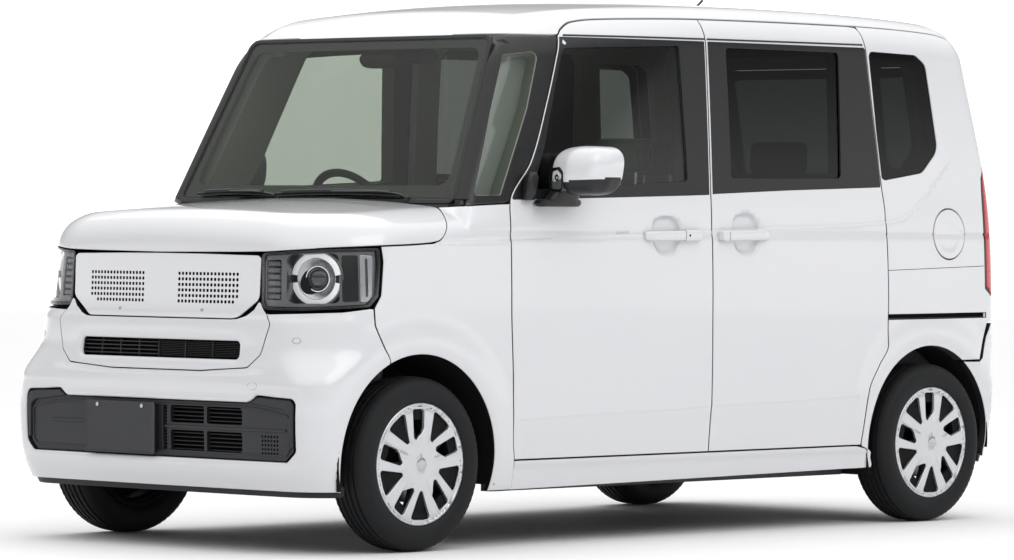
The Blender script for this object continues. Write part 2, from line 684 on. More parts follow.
# -------------------------------------------------------------- mesh helpers
def add(name, verts, faces, mats, fmat=None, lnorm=None, body="body", smooth=True, mirror=False):
    """A mesh of millimetre points as a piece that rides on a body."""
    v = np.asarray(verts, float) * 0.001
    if mirror:
        v = v.copy()
        v[:, 0] *= -1
        faces = [tuple(reversed(f)) for f in faces]
    me = bpy.data.meshes.new(name)
    me.from_pydata(v.tolist(), [], [tuple(int(i) for i in f) for f in faces])
    for m in (mats if isinstance(mats, (list, tuple)) else [mats]):
        me.materials.append(MAT[m])
    me.polygons.foreach_set("use_smooth", [smooth] * len(me.polygons))
    if fmat is not None:
        me.polygons.foreach_set("material_index", [int(i) for i in fmat])
    me.update()
    if lnorm is not None:
        ln = lnorm
        if mirror:
            out = []
            k = 0
            for f in faces:
                seg = ln[k:k + len(f)][::-1]
                out.append(seg * np.array([-1, 1, 1]))
                k += len(f)
            ln = np.vstack(out)
        me.normals_split_custom_set([tuple(x) for x in ln])
    ob = bpy.data.objects.new(name, me)
    bpy.context.scene.collection.objects.link(ob)
    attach(ob, body)
    return ob


def frame_of(fmap, q):
    """Points, unit normals and the two slopes of fmap at the points q."""
    e = 1.0
    p = fmap(q[:, 0].copy(), q[:, 1].copy())
    pu = (fmap(q[:, 0] + e, q[:, 1].copy()) - fmap(q[:, 0] - e, q[:, 1].copy())) / (2 * e)
    pv = (fmap(q[:, 0].copy(), q[:, 1] + e) - fmap(q[:, 0].copy(), q[:, 1] - e)) / (2 * e)
    n = np.cross(pu, pv)
    n = n / np.maximum(np.linalg.norm(n, axis=1), 1e-9)[:, None]
    return p, n, pu, pv


def panel_mesh(fmap, outer, holes=(), grid=18.0, r=2.5, depth=12.0, hr=None, hdepth=None, flip=False, arc=3,
               lines=(), back=True, inner_off=None, grid_fun=None, edge_lift=0.0):
    """A closed panel over fmap inside a line, with rolled edges. Returns
    verts, faces, group of each face (0 skin, 1 edge, 2 back) and corner normals."""
    hr = r if hr is None else hr
    loops = [np.asarray(outer, float)] + [np.asarray(h, float) for h in holes]
    data = []
    # outer loop runs anticlockwise, holes clockwise: material on the left
    loops = [q[::-1] if (area2(q) > 0) != (li == 0) else q for li, q in enumerate(loops)]
    cuts = np.cumsum([0] + [len(q) for q in loops])
    P_, N_, U_, V_ = frame_of(fmap, np.vstack(loops))
    for li, q in enumerate(loops):
        p, n, pu, pv = (a_[cuts[li]:cuts[li + 1]] for a_ in (P_, N_, U_, V_))
        t2 = np.roll(q, -1, 0) - np.roll(q, 1, 0)
        t2 /= np.maximum(np.linalg.norm(t2, axis=1), 1e-9)[:, None]
        o2 = np.stack([t2[:, 1], -t2[:, 0]], 1)
        t3 = np.roll(p, -1, 0) - np.roll(p, 1, 0)
        t3 /= np.maximum(np.linalg.norm(t3, axis=1), 1e-9)[:, None]
        b = np.cross(t3, n)
        b /= np.maximum(np.linalg.norm(b, axis=1), 1e-9)[:, None]
        o3 = pu * o2[:, :1] + pv * o2[:, 1:]
        b *= np.sign(np.sum(b * o3, 1))[:, None]
        rad = r if li == 0 else hr
        rr = np.full(len(q), float(rad))
        # in-surface step of -rad along b, in the map's own plane
        g11 = np.sum(pu * pu, 1)
        g12 = np.sum(pu * pv, 1)
        g22 = np.sum(pv * pv, 1)
        bu = np.sum(b * pu, 1)
        bv = np.sum(b * pv, 1)
        det = g11 * g22 - g12 * g12
        du = (g22 * bu - g12 * bv) / det
        dv = (g11 * bv - g12 * bu) / det
        qi = q - np.stack([du, dv], 1) * rr[:, None]
        data.append((q, qi, p, n, b, rr))
    vin = [d[1] for d in data]
    starts = np.cumsum([0] + [len(x) for x in vin])
    # lattice inside
    lo, hi = vin[0].min(0), vin[0].max(0)
    gx = np.arange(lo[0] - grid, hi[0] + grid, grid)
    gy = np.arange(lo[1] - grid, hi[1] + grid, grid * 0.866)
    X, Y = np.meshgrid(gx, gy)
    X = X + (np.arange(len(gy)) % 2)[:, None] * grid * 0.5
    pts = np.stack([X.ravel(), Y.ravel()], 1)
    extra = [np.asarray(l, float) for l in lines]
    ok = inside(vin[0], pts) & ~near(vin[0], pts, grid * 0.45)
    for h in vin[1:]:
        m = ok.copy()
        bx = (pts[:, 0] > h[:, 0].min() - grid) & (pts[:, 0] < h[:, 0].max() + grid) & \
             (pts[:, 1] > h[:, 1].min() - grid) & (pts[:, 1] < h[:, 1].max() + grid) & ok
        idx = np.nonzero(bx)[0]
        if len(idx):
            bad = inside(h, pts[idx]) | near(h, pts[idx], grid * 0.42)
            ok[idx[bad]] = False
    for l in extra:
        idx = np.nonzero(ok)[0]
        bad = near(l, pts[idx], grid * 0.35)
        ok[idx[bad]] = False
    pts = pts[ok]
    if extra:
        ex = np.vstack(extra)
        e_ok = inside(vin[0], ex) & ~near(vin[0], ex, 4.0)
        for h in vin[1:]:
            e_ok &= ~(inside(h, ex) | near(h, ex, 4.0))
        pts = np.vstack([pts, ex[e_ok]])
    allv = np.vstack(vin + [pts])
    edges = []
    for k in range(len(vin)):
        s, e = starts[k], starts[k + 1]
        edges += [(i, i + 1) for i in range(s, e - 1)] + [(e - 1, s)]
    cen = allv.mean(0)
    res = delaunay_2d_cdt([Vector((float(x - cen[0]), float(y - cen[1]))) for x, y in allv], edges, [], 0, 1e-4)
    ov = np.array([(v.x, v.y) for v in res[0]]) + cen
    tri = np.array([list(f) for f in res[2] if len(f) == 3])
    c = ov[tri].mean(1)
    ok = inside(vin[0], c)
    for h in vin[1:]:
        bx = (c[:, 0] > h[:, 0].min()) & (c[:, 0] < h[:, 0].max()) & (c[:, 1] > h[:, 1].min()) & (c[:, 1] < h[:, 1].max()) & ok
        idx = np.nonzero(bx)[0]
        if len(idx):
            ok[idx[inside(h, c[idx])]] = False
    tri = tri[ok]
    # which output vertex stands for each input one
    o2i = {}
    for i, src in enumerate(res[3]):
        for s in src:
            o2i[s] = i
    used = np.unique(tri)
    P, N, PU, PV = frame_of(fmap, ov)
    a2 = (ov[tri[:, 1], 0] - ov[tri[:, 0], 0]) * (ov[tri[:, 2], 1] - ov[tri[:, 0], 1]) - \
         (ov[tri[:, 1], 1] - ov[tri[:, 0], 1]) * (ov[tri[:, 2], 0] - ov[tri[:, 0], 0])
    tri = np.where((a2 < 0)[:, None], tri[:, ::-1], tri)
    s = -1.0 if flip else 1.0
    N = N * s
    verts = [P]
    VN = [N]
    base = len(P)
    faces = []
    groups = []
    for f in tri:
        faces.append(tuple(f) if not flip else tuple(f[::-1]))
        groups.append(0)
    endring = []
    for k, (q, qi, p, n, b, rr) in enumerate(data):
        n = n * s
        m = len(q)
        dep = depth if k == 0 or hdepth is None else hdepth
        ring = [np.array([o2i.get(starts[k] + i, -1) for i in range(m)])]
        # rings of the rolled edge
        for j in range(1, arc + 1):
            th = math.pi / 2 * j / arc
            pos = p - b * (rr * (1 - math.sin(th)))[:, None] - n * (rr * (1 - math.cos(th)))[:, None]
            nn = n * math.cos(th) + b * math.sin(th)
            ring.append(base + np.arange(m))
            verts.append(pos)
            VN.append(nn)
            base += m
        verts.append(p - n * dep)
        VN.append(b)
        ring.append(base + np.arange(m))
        base += m
        for a, c2 in zip(ring[:-1], ring[1:]):
            for i in range(m):
                i2 = (i + 1) % m
                f = (a[i], c2[i], c2[i2], a[i2])
                if min(f) < 0:
                    continue
                faces.append(f if not flip else f[::-1])
                groups.append(3 if a is ring[-2] else 1)
        endring.append(ring[-1])
    BN = None
    if back:
        # inner skin: the same triangles at the flange's foot
        ib = np.full(len(P), -1)
        for k in range(len(data)):
            for i in range(len(data[k][0])):
                o = o2i.get(starts[k] + i, -1)
                if o >= 0:
                    ib[o] = endring[k][i]
        free = [i for i in used if ib[i] < 0]
        dd = depth if inner_off is None else inner_off
        verts.append(P[free] - N[free] * dd)
        VN.append(-N[free])
        for j, i in enumerate(free):
            ib[i] = base + j
        base += len(free)
        for f in tri:
            g = tuple(ib[list(f)])
            if min(g) < 0:
                continue
            faces.append(g[::-1] if not flip else g)
            groups.append(2)
    V = np.vstack(verts)
    A = np.vstack(VN)
    # corner normals: the back takes its own direction
    BNv = A.copy()
    if back:
        for k in range(len(data)):
            n = data[k][3] * s
            BNv[endring[k]] = -n
    ln = []
    for f, g in zip(faces, groups):
        src = BNv if g == 2 else A
        for i in f:
            ln.append(src[i])
    ln = np.array(ln)
    # drop unused vertices
    usedv = np.unique(np.concatenate([np.array(f) for f in faces]))
    mp = np.full(len(V), -1)
    mp[usedv] = np.arange(len(usedv))
    faces = [tuple(mp[list(f)]) for f in faces]
    return V[usedv], faces, np.array(groups), ln


def panel(name, mats, fmap, outer, holes=(), body="body", mirror=None, replaces=(), slot=None, **kw):
    """A panel on the left, and with mirror a like one on the right."""
    V, F, G, L = panel_mesh(fmap, outer, holes, **kw)
    mats = [mats] if isinstance(mats, str) else list(mats)
    idx = np.where(G >= 2, min(len(mats) - 1, 1), 0)
    objs = []
    if mirror is None:
        objs.append(add(name, V, F, mats, idx, L, body))
    else:
        bl = body if isinstance(body, str) else body[0]
        br = bl.replace("left", "right") if isinstance(body, str) else body[1]
        objs.append(add(name + "_left", V, F, mats, idx, L, bl))
        objs.append(add(name + "_right", V, F, mats, idx, L, br, mirror=True))
    return objs


def lathe(profile, n=64, closed_profile=False):
    """(radius, along) pairs turned round the x axis: verts, faces."""
    pr = np.array(profile, float)
    m = len(pr)
    t = np.linspace(0, 2 * math.pi, n, endpoint=False)
    V = np.stack([np.tile(pr[:, 1], n), np.outer(np.cos(t), pr[:, 0]).ravel(), np.outer(np.sin(t), pr[:, 0]).ravel()], 1)
    F = []
    for i in range(n):
        i2 = (i + 1) % n
        for j in range(m if closed_profile else m - 1):
            j2 = (j + 1) % m
            F.append((i * m + j, i2 * m + j, i2 * m + j2, i * m + j2))
    return V, F


def lathe_obj(name, mat, profile, centre, axis=(1, 0, 0), n=64, body="body", closed=True, mirror=False):
    V, F = lathe(profile, n, closed)
    ax = Vector(axis).normalized()
    R = np.array(Vector((1, 0, 0)).rotation_difference(ax).to_matrix())
    V = V @ R.T + np.array(centre)
    ob = add(name, V, F, mat, body=body, mirror=mirror)
    autosmooth(ob, 40)
    return ob


def autosmooth(ob, deg=35.0):
    bm = bmesh.new()
    bm.from_mesh(ob.data)
    bmesh.ops.recalc_face_normals(bm, faces=bm.faces)
    for e in bm.edges:
        if len(e.link_faces) == 2:
            e.smooth = e.calc_face_angle(0.0) < math.radians(deg)
    for f in bm.faces:
        f.smooth = True
    bm.to_mesh(ob.data)
    bm.free()


def tube(name, mat, pts, r, n=12, body="body", closed=False, flat=1.0, up=(0, 0, 1), caps=True, mirror=False, radii=None):
    """A round or oval bar along points."""
    pts = np.array(pts, float)
    m = len(pts)
    V = []
    up0 = np.array(up, float)
    for i in range(m):
        if closed:
            t = pts[(i + 1) % m] - pts[i - 1]
        else:
            t = pts[min(i + 1, m - 1)] - pts[max(i - 1, 0)]
        t /= np.linalg.norm(t)
        a = np.cross(up0, t)
        if np.linalg.norm(a) < 1e-3:
            a = np.cross(np.array([1.0, 0, 0]), t)
        a /= np.linalg.norm(a)
        b = np.cross(t, a)
        ri = r if radii is None else radii[i]
        for k in range(n):
            s = 2 * math.pi * k / n
            V.append(pts[i] + a * ri * math.cos(s) + b * ri * flat * math.sin(s))
    F = []
    for i in range(m if closed else m - 1):
        i2 = (i + 1) % m
        for k in range(n):
            k2 = (k + 1) % n
            F.append((i * n + k, i * n + k2, i2 * n + k2, i2 * n + k))
    if not closed and caps:
        F.append(tuple(range(n))[::-1])
        F.append(tuple((m - 1) * n + k for k in range(n)))
    ob = add(name, V, F, mat, body=body, mirror=mirror)
    autosmooth(ob, 50)
    return ob


def soft_box(name, mat, lo, hi, r, body="body", seg=3, mirror=False, taper=None, subsurf=0):
    """A box with rounded edges; taper moves its corners: f(points) to points."""
    bm = bmesh.new()
    bmesh.ops.create_cube(bm, size=1.0)
    lo, hi = np.array(lo, float), np.array(hi, float)
    for v in bm.verts:
        v.co = Vector(((v.co.x + 0.5) * (hi[0] - lo[0]) + lo[0], (v.co.y + 0.5) * (hi[1] - lo[1]) + lo[1],
                       (v.co.z + 0.5) * (hi[2] - lo[2]) + lo[2]))
    if taper is not None:
        for v in bm.verts:
            v.co = Vector(taper(np.array(v.co)))
    if r > 0:
        bmesh.ops.bevel(bm, geom=list(bm.edges), offset=r, segments=seg, profile=0.6, affect="EDGES", clamp_overlap=True)
    bm.verts.ensure_lookup_table()
    V = [tuple(v.co) for v in bm.verts]
    F = [tuple(v.index for v in f.verts) for f in bm.faces]
    bm.free()
    ob = add(name, V, F, mat, body=body, mirror=mirror)
    autosmooth(ob, 30)
    return ob


def join(objs, name):
    """One piece of several like ones on the same body."""
    base = objs[0]
    bm = bmesh.new()
    mats = []
    for o in objs:
        me = o.data
        remap = []
        for m in me.materials:
            if m not in mats:
                mats.append(m)
            remap.append(mats.index(m))
        n0 = len(bm.faces)
        bm.from_mesh(me)
        bm.faces.ensure_lookup_table()
        for f in bm.faces[n0:]:
            f.material_index = remap[f.material_index] if f.material_index < len(remap) else 0
    me = bpy.data.meshes.new(name)
    bm.to_mesh(me)
    bm.free()
    for m in mats:
        me.materials.append(m)
    base.data = me
    base.name = name
    for o in objs[1:]:
        bpy.data.objects.remove(o)
    return base


# ======================================================== the car's own parts
SIDE = SideMap()
SIDE_IN = SideMap(0, False)
DFRONT = pchip([277, 340, 531, 786, 993, 1099, 1228, 1414, 1640], [-787, -800, -805, -815, -815, -803.5, -701.5, -611.5, -514.5])
SREAR = pchip([277, 327, 464, 549, 617, 772, 1065, 1158, 1640, 1694, 1708], [921, 929, 950, 1003, 1052, 1056, 1047, 1031.5, 971, 966, 955])
ZB = 277.0

front_window = [(-706, 1134, 20), (-640, 1280), (-566, 1480), (-516, 1600, 30), (8, 1622, 12), (30, 1170, 12)]
slide_window = [(243, 1180, 14), (236, 1622, 14), (826, 1622, 16), (816, 1186, 16)]
quarter_window = [(1032, 1182, 30), (988, 1628, 20), (1245, 1622, 40), (1300, 1590, 40), (1352, 1290, 60), (1262, 1212, 60)]
fq_window = [(-955, 1118, 8), (-755, 1572, 30), (-610, 1590, 20), (-690, 1400), (-842, 1120, 8)]


def door_outline(y_seam_end):
    front = run(DFRONT, ZB, 1640, 200)
    top = runy(lambda y: ROOF_SEAM(y) - 2.5, -508, y_seam_end, 90)
    return np.vstack([front, top, np.stack([np.full(150, y_seam_end), np.linspace(ROOF_SEAM(y_seam_end) - 10, ZB, 150)], 1),
                      np.stack([np.linspace(y_seam_end - 7, DFRONT(ZB) + 7, 110), np.full(110, ZB)], 1)])


def line_points(y0, y1, f, step=9.0, offs=(-3.2, -1.6, 0.0, 5.0)):
    y = np.arange(y0, y1, step)
    return [np.stack([y + (i % 2) * step / 2, f(y + (i % 2) * step / 2) + o], 1) for i, o in enumerate(offs)]


def handle_dish(cy, cz, w_up, h_up, w_dn, h_dn):
    """Depth of the hollow behind a grab handle, as a function of (y, z)."""
    def f(y, z):
        u = (y - cy)
        v = (z - cz)
        k = np.where(v > 0, (np.abs(u) / w_up) ** 3 + (np.abs(v) / h_up) ** 3, (np.abs(u) / w_dn) ** 2.4 + (np.abs(v) / h_dn) ** 2.4)
        return 15.0 * smooth(1.02, 0.42, k)
    return f


DISHES = [handle_dish(-82, 991, 72, 69, 70, 66), handle_dish(313, 992, 70, 80, 68, 66)]
PADS = []


class DoorMap(SideMap):
    """The side with the hollows behind the handles."""
    def __call__(self, u, v):
        p = SideMap.__call__(self, u, v)
        for d in DISHES:
            p[:, 0] -= d(u, v)
        return p


DOOR = DoorMap()


def dish_points(cy, cz):
    t = np.arange(0, 2 * math.pi, 0.14)
    return [np.stack([cy + k * 71 * np.cos(t + k), cz + k * 69 * np.sin(t + k)], 1) for k in (0.35, 0.55, 0.68, 0.78, 0.86, 0.93, 1.0, 1.08)]


fd = door_outline(140.0)
crease_pts = line_points(-780, 900, CREASE, 12.0, (-6.0, -2.0, 1.0))
panel("front_door_shell", ["paint", "cabin_plastic"], DOOR, fd, [rounded(front_window)], body="front_door_left", mirror=True,
      slot="body_paint", depth=58, grid=17, r=2.6, hr=3.0, lines=line_points(-812, 136, LINE) + dish_points(-82, 993) + crease_pts)

sd = np.vstack([np.stack([np.full(150, 145.0), np.linspace(ZB, ROOF_SEAM(145) - 2.5, 150)], 1),
                runy(lambda y: ROOF_SEAM(y) - 2.5, 152, 921, 90),
                run(SREAR, 1708, ZB, 200),
                np.stack([np.linspace(914, 152, 100), np.full(100, ZB)], 1)])
panel("sliding_door_shell", ["paint", "cabin_plastic"], DOOR, sd, [rounded(slide_window)], mirror=True,
      slot="body_paint", depth=58, grid=17, r=2.6, hr=3.0, lines=line_points(150, 1044, LINE) + dish_points(313, 995) + crease_pts)
for n in ("front_door_left", "front_door_right", "sliding_door_left", "sliding_door_right"):
    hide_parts(n)

# ------------------------------------------------------------------- fender
ARCF = circle(YA - 3, 284, 335, 200)
ARCR = circle(YB - 9, 284, 328, 200)


def arc_points(cy, r, a0, a1, n):
    t = np.radians(np.linspace(a0, a1, n))
    return np.stack([cy + r * np.cos(t), 284 + r * np.sin(t)], 1)


af_end = math.degrees(math.asin((181 - 284) / 335.0))
fen = np.vstack([
    run(lambda z: DFRONT(z) - 5, 181, 1092, 130),
    np.array([[-850, 1090.5], [-900, 1088.5], [-950, 1086.5], [-1001, 1084]]),
    np.stack([np.linspace(-1032, -1386, 60), BSEAM(np.linspace(-1032, -1386, 60)) - 2.5], 1),
    densify([(-1386, 954), (-1381, 910), (-1393, 803), (-1419, 764), (-1416, 712), (-1379, 638), (-1352, 597)], 8, False),
    arc_points(YA - 3, 335, 113.0, af_end, 110)])
fender_obs = panel("front_fender_shell", ["paint", "liner_felt"], SIDE, loop_from(SIDE, (None, fen)), mirror=True, slot="body_paint",
                   depth=24, grid=16, r=2.6, lines=line_points(-1180, -824, LINE))
for n in ("left", "right"):
    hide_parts("front_fender_" + n)

# -------------------------------------------------------------- rear quarter
QM = RadialMap(180, 1250, 540.0)
TW = 588.0


def tail_edge(z):
    """Half width of the tailgate opening against height."""
    return np.interp(z, [472, 700, 1300, 1652], [568, TW + 5.5, TW + 5.5, 568])


zq = np.linspace(281, 1700, 210)
qlow, qhigh = zq[zq < 702], zq[zq > 727]
qfront = np.vstack([np.stack([SREAR(qlow) + 5, qlow], 1),
                    densify([(float(SREAR(704)) + 5, 704), (1608, 706), (1608, 725), (float(SREAR(725)) + 5, 723)], 8, False),
                    np.stack([SREAR(qhigh) + 5, qhigh], 1)])
qtop = runy(lambda y: ROOF_SEAM(y) - 1.0, 968, 1490, 60)
z_t = np.linspace(1655, 694, 130)
q_tail = np.stack([tail_edge(z_t), z_t], 1)
ar0 = math.degrees(math.asin((430 - 284) / 328.0))
q_low = densify([(1625, 694), (1612, 690), (1585, 620), (1562, 560)], 8, False)
arc_q = arc_points(YB - 9, 328, 57.0, 196.0, 110)
sill_run = densify([(978, 250), (960, 262), (930, 272)], 8, False)
REARM = RearMap()


def quarter_loop():
    # front edge up, seam back, tail edge down, lower edge forward, wheel arch
    parts = [(SIDE_IN, qfront), (SIDE_IN, qtop)]
    zt = z_t
    rp = REARM(q_tail[:, 0].copy(), q_tail[:, 1].copy())
    seam_end = SIDE_IN(np.array([1490.0]), np.array([float(ROOF_SEAM(1490) - 1)]))
    out = [QM.back(SIDE_IN(qfront[:, 0].copy(), qfront[:, 1].copy())), QM.back(SIDE_IN(qtop[:, 0].copy(), qtop[:, 1].copy()))]
    tail2 = QM.back(rp)
    # join seam end to the tail edge's top along the seam height
    a, b = out[1][-1], tail2[0]
    k = 18
    out.append(np.stack([np.linspace(a[0], b[0], k)[1:-1], np.linspace(a[1], b[1], k)[1:-1]], 1))
    out.append(tail2)
    low = QM.back(SIDE_IN(q_low[:, 0].copy(), q_low[:, 1].copy()))
    a, b = tail2[-1], low[0]
    out.append(np.stack([np.linspace(a[0], b[0], 20)[1:-1], np.linspace(a[1], b[1], 20)[1:-1]], 1))
    out.append(low)
    out.append(QM.back(SIDE_IN(arc_q[:, 0].copy(), arc_q[:, 1].copy())))
    out.append(QM.back(SIDE_IN(sill_run[:, 0].copy(), sill_run[:, 1].copy())))
    q = np.vstack(out)
    keep = [0]
    for i in range(1, len(q)):
        if np.hypot(*(q[i] - q[keep[-1]])) > 2.0:
            keep.append(i)
    return q[keep]


class QuarterMap(RadialMap):
    def __call__(self, u, v):
        p = RadialMap.__call__(self, u, v)
        p[:, 0] -= relief(p[:, 1], p[:, 2]) * smooth(1600, 1500, p[:, 1])
        # pressed rim round the window
        return p


QMR = QuarterMap(180, 1250, 540.0)


def to_q(pts):
    pts = np.asarray(pts, float)
    return QM.back(SIDE_IN(pts[:, 0].copy(), pts[:, 1].copy()))


lampcut = densify([(1594, 1292), (1594, 776)], 8, False)
lamp_hole_side = QM.back(SIDE_IN(lampcut[:, 0].copy(), lampcut[:, 1].copy()))
# the lamp's recess reaches to the tailgate opening: leave it out of the panel
ql = quarter_loop()
lamp_u = float(lamp_hole_side[:, 0].mean())


def cut_notch(q, u0, z0, z1):
    """Takes the rectangle u > u0, z0 < z < z1 off the closed line."""
    sel = (q[:, 0] > u0) & (q[:, 1] > z0) & (q[:, 1] < z1)
    idx = np.nonzero(sel)[0]
    i0, i1 = idx.min(), idx.max()
    first, last = q[i0], q[i1]
    top, bot = (z1, z0) if first[1] > last[1] else (z0, z1)
    ua = q[i0 - 1][0]
    ub = q[(i1 + 1) % len(q)][0]
    if top > bot:
        mid = densify([(ua, top), (u0 + 34, top), (u0, top - 96), (u0, bot + 34), (u0 + 30, bot), (ub, bot)], 7, False)
    else:
        mid = densify([(ua, top), (u0 + 30, top), (u0, top + 34), (u0, bot - 96), (u0 + 34, bot), (ub, bot)], 7, False)
    return np.vstack([q[:i0], mid, q[i1 + 1:]])


ql = cut_notch(ql, lamp_u, 776, 1292)
flapc = circle(1400, 1000, 90.0, 90)
quarter_holes = [to_q(rounded(quarter_window))]
flap_hole = to_q(flapc)
V, F, G, L = panel_mesh(QMR, ql, quarter_holes + [flap_hole], depth=40, grid=16, r=2.6, hr=4.5, hdepth=14,
                        lines=[to_q(p) for p in line_points(1050, 1430, LINE, 12)])
ob = add("rear_quarter_shell_left", V, F, ["paint", "cabin_plastic"], np.where(G >= 2, 1, 0), L, "body")
V, F, G, L = panel_mesh(QMR, ql, quarter_holes, depth=40, grid=16, r=2.6, hr=4.5, hdepth=14,
                        lines=[to_q(p) for p in line_points(1050, 1430, LINE, 12)])
ob2 = add("rear_quarter_shell_right", V, F, ["paint", "cabin_plastic"], np.where(G >= 2, 1, 0), L, "body", mirror=True)
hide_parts("body_side_left")
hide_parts("body_side_right")


class FlapMap(SideMap):
    """The flap, pressed in a little in its middle, with a finger notch at its rear."""
    def __call__(self, u, v):
        p = SideMap.__call__(self, u, v)
        d = np.hypot(u - 1396, v - 992)
        p[:, 0] -= 1.6 * smooth(62, 40, d) + 2.2 * smooth(10, 4, np.hypot(u - 1471, v - 1006))
        return p


flap = panel("fuel_flap_shell", "paint", FlapMap(), circle(1400, 1000, 86, 90), body="fuel_flap", slot="body_paint", depth=7, grid=10, r=2.2)[0]
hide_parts("fuel_flap")

# the structure behind the doors, with the two door openings in it
front_opening = [(-745, 330, 60), (-752, 1090, 30), (-655, 1250, 20), (-478, 1628, 50), (88, 1642, 50), (88, 330, 60)]
slide_opening = [(196, 330, 60), (196, 1642, 50), (905, 1642, 60), (925, 1160, 40), (925, 640, 90), (868, 330, 60)]
ring_outline = [(-780, 200), (-790, 1080), (-955, 1090), (-925, 1150), (-733, 1555), (-712, 1610), (-560, 1630)] + \
    [(y, float(ROOF_SEAM(y)) - 12) for y in np.linspace(-480, 1500, 14)] + [(1540, 1560), (1560, 620), (1200, 640), (1000, 560), (900, 300), (890, 200)]
quarter_inner = [(1048, 1190, 30), (1004, 1610, 20), (1240, 1606, 40), (1290, 1580, 40), (1336, 1300, 60), (1255, 1225, 60)]
panel("cabin_side_frame", ["paint", "cabin_light"], SideMap(66, False), densify(ring_outline, 16),
      [rounded(front_opening, 12), rounded(slide_opening, 12), rounded(quarter_inner, 12)], mirror=True, slot="body_paint",
      depth=36, grid=46, r=6, hr=8, body="body")

# front pillar, quarter glass frame and sill
pil = np.vstack([densify([(-978, 1096), (-722, 1632)], 8, False), densify([(-715, 1634), (-520, 1634)], 8, False),
                 run(lambda z: DFRONT(z) - 5, 1626, 1104, 90), densify([(-820, 1098), (-970, 1093)], 8, False)])
panel("front_pillar_trim", ["trim_black", "cabin_light"], SideMap(1.0, False), loop_from(SIDE, (None, pil)), [rounded(fq_window)], mirror=True,
      slot="dark_plastic", depth=60, grid=18, r=2.5, hr=2.0)
sill = [(-786, 179, 4), (-787, 272, 2), (905, 272, 2), (955, 262, 8), (985, 238, 20), (1000, 205, 10), (996, 196, 4)]


class SillMap(SideMap):
    def __call__(self, u, v):
        p = SideMap.__call__(self, u, v)
        p[:, 0] -= 4.0 * smooth(262, 240, v) + 0.0 * u
        return p


panel("sill_cover", ["paint", "steel_under"], SillMap(0, True), rounded(sill), mirror=True, slot="body_paint", depth=40, grid=14, r=3.5)

# ------------------------------------------------------------------ bumper
FM = RadialMap(0, -1150, 560.0)
low_open = [(-600, 288, 20), (-636, 320, 24), (-636, 486, 24), (-470, 492, 20), (-424, 470, 10), (424, 470, 10),
            (470, 492, 20), (636, 486, 24), (636, 320, 24), (600, 288, 20)]
FRONTM = FrontMap()


def to_f(pts, off=0.0):
    pts = np.asarray(pts, float)
    return FM.back(FrontMap(off)(pts[:, 0].copy(), pts[:, 1].copy()))


def side_to_f(pts):
    pts = np.asarray(pts, float)
    return FM.back(SIDE_IN(pts[:, 0].copy(), pts[:, 1].copy()))


top_half = densify([(0, 724), (344, 724), (424, 736), (471, 744)], 8, False)
seam_half = densify([(-1424.5, 762), (-1421.5, 712), (-1384.5, 638), (-1356, 599)], 8, False)
arc_half = arc_points(YA - 3, 335, 114.0, 195.5, 80)
cut_half = np.vstack([side_to_f(seam_half), side_to_f(arc_half)])


def insert_seam(o):
    """Half of the joint line round the middle piece of the bumper, from its foot up; o moves it out."""
    q = rounded([(-700, 563 - o), (210, 563.5 - o, 60), (415 + o * 0.4, 578 - o, 24), (462 + o, 618 - o * 0.3, 26), (492 + o, 715, 16),
                 (467 + o, 746), (467 + o, 1200), (-700, 1200)])
    return q[(q[:, 0] > 2) & (q[:, 1] < 745.5) & (q[:, 0] < 500)]


topr = to_f(np.vstack([[(0, 561.4)], insert_seam(1.6), [(468.6, 745.0)]]))
corner_top = np.stack([np.linspace(topr[-1][0], cut_half[0][0], 30)[1:-1], np.interp(np.linspace(0, 1, 30)[1:-1], [0, 0.7, 1], [744, 752, 764])], 1)
right_half = np.vstack([topr, corner_top, cut_half])
bottom_z = 197.0
bend = cut_half[-1]
bot = np.stack([np.linspace(bend[0], 0, 90), np.full(90, bottom_z)], 1)
right_half = np.vstack([right_half, bot[1:]])
left_half = right_half[::-1] * np.array([-1, 1])
bl = np.vstack([right_half, left_half[1:-1]])
keep_i = [0]
for i in range(1, len(bl)):
    if np.hypot(*(bl[i] - bl[keep_i[-1]])) > 2.0:
        keep_i.append(i)
bl = bl[keep_i]


class BumperMap(RadialMap):
    """The front bumper: hollowed towards its two openings, with a fold between them."""
    def __call__(self, u, v):
        p = RadialMap.__call__(self, u, v)
        x, z = np.abs(p[:, 0]), p[:, 2]
        d = np.stack([np.sin(u / self.r0), -np.cos(u / self.r0), np.zeros_like(u)], 1)
        band_ = smooth(472, 490, z) * smooth(575, 556, z) * smooth(650, 430, x) * 6.0
        d1 = np.maximum(np.hypot(np.maximum(x - 357, 0), np.maximum(np.abs(z - 630.5) - 12.5, 0)) - 14, 0)
        top_ = np.interp(x, [424, 470], [470, 490])
        d2 = np.maximum(np.hypot(np.maximum(x - 616, 0), np.maximum(np.maximum(z - top_ + 20, 308 - z), 0)) - 20, 0)
        t = band_ + 9.0 * np.exp(-d1 / 9.0) + 8.0 * np.exp(-(d2 / 12.0) ** 1.5)
        return p - d * t[:, None]


BM = BumperMap(0, -1150, 560.0)
up_open = [(-371, 604, 14), (-371, 657, 14), (371, 657, 14), (371, 604, 14)]


def spread(poly, k):
    """The corner list of a closed outline moved out by k."""
    c = rounded(poly, 9)
    t = np.roll(c, -1, 0) - np.roll(c, 1, 0)
    t /= np.maximum(np.linalg.norm(t, axis=1), 1e-9)[:, None]
    w_ = 1.0 if area2(c) > 0 else -1.0
    return c + w_ * np.stack([t[:, 1], -t[:, 0]], 1) * k


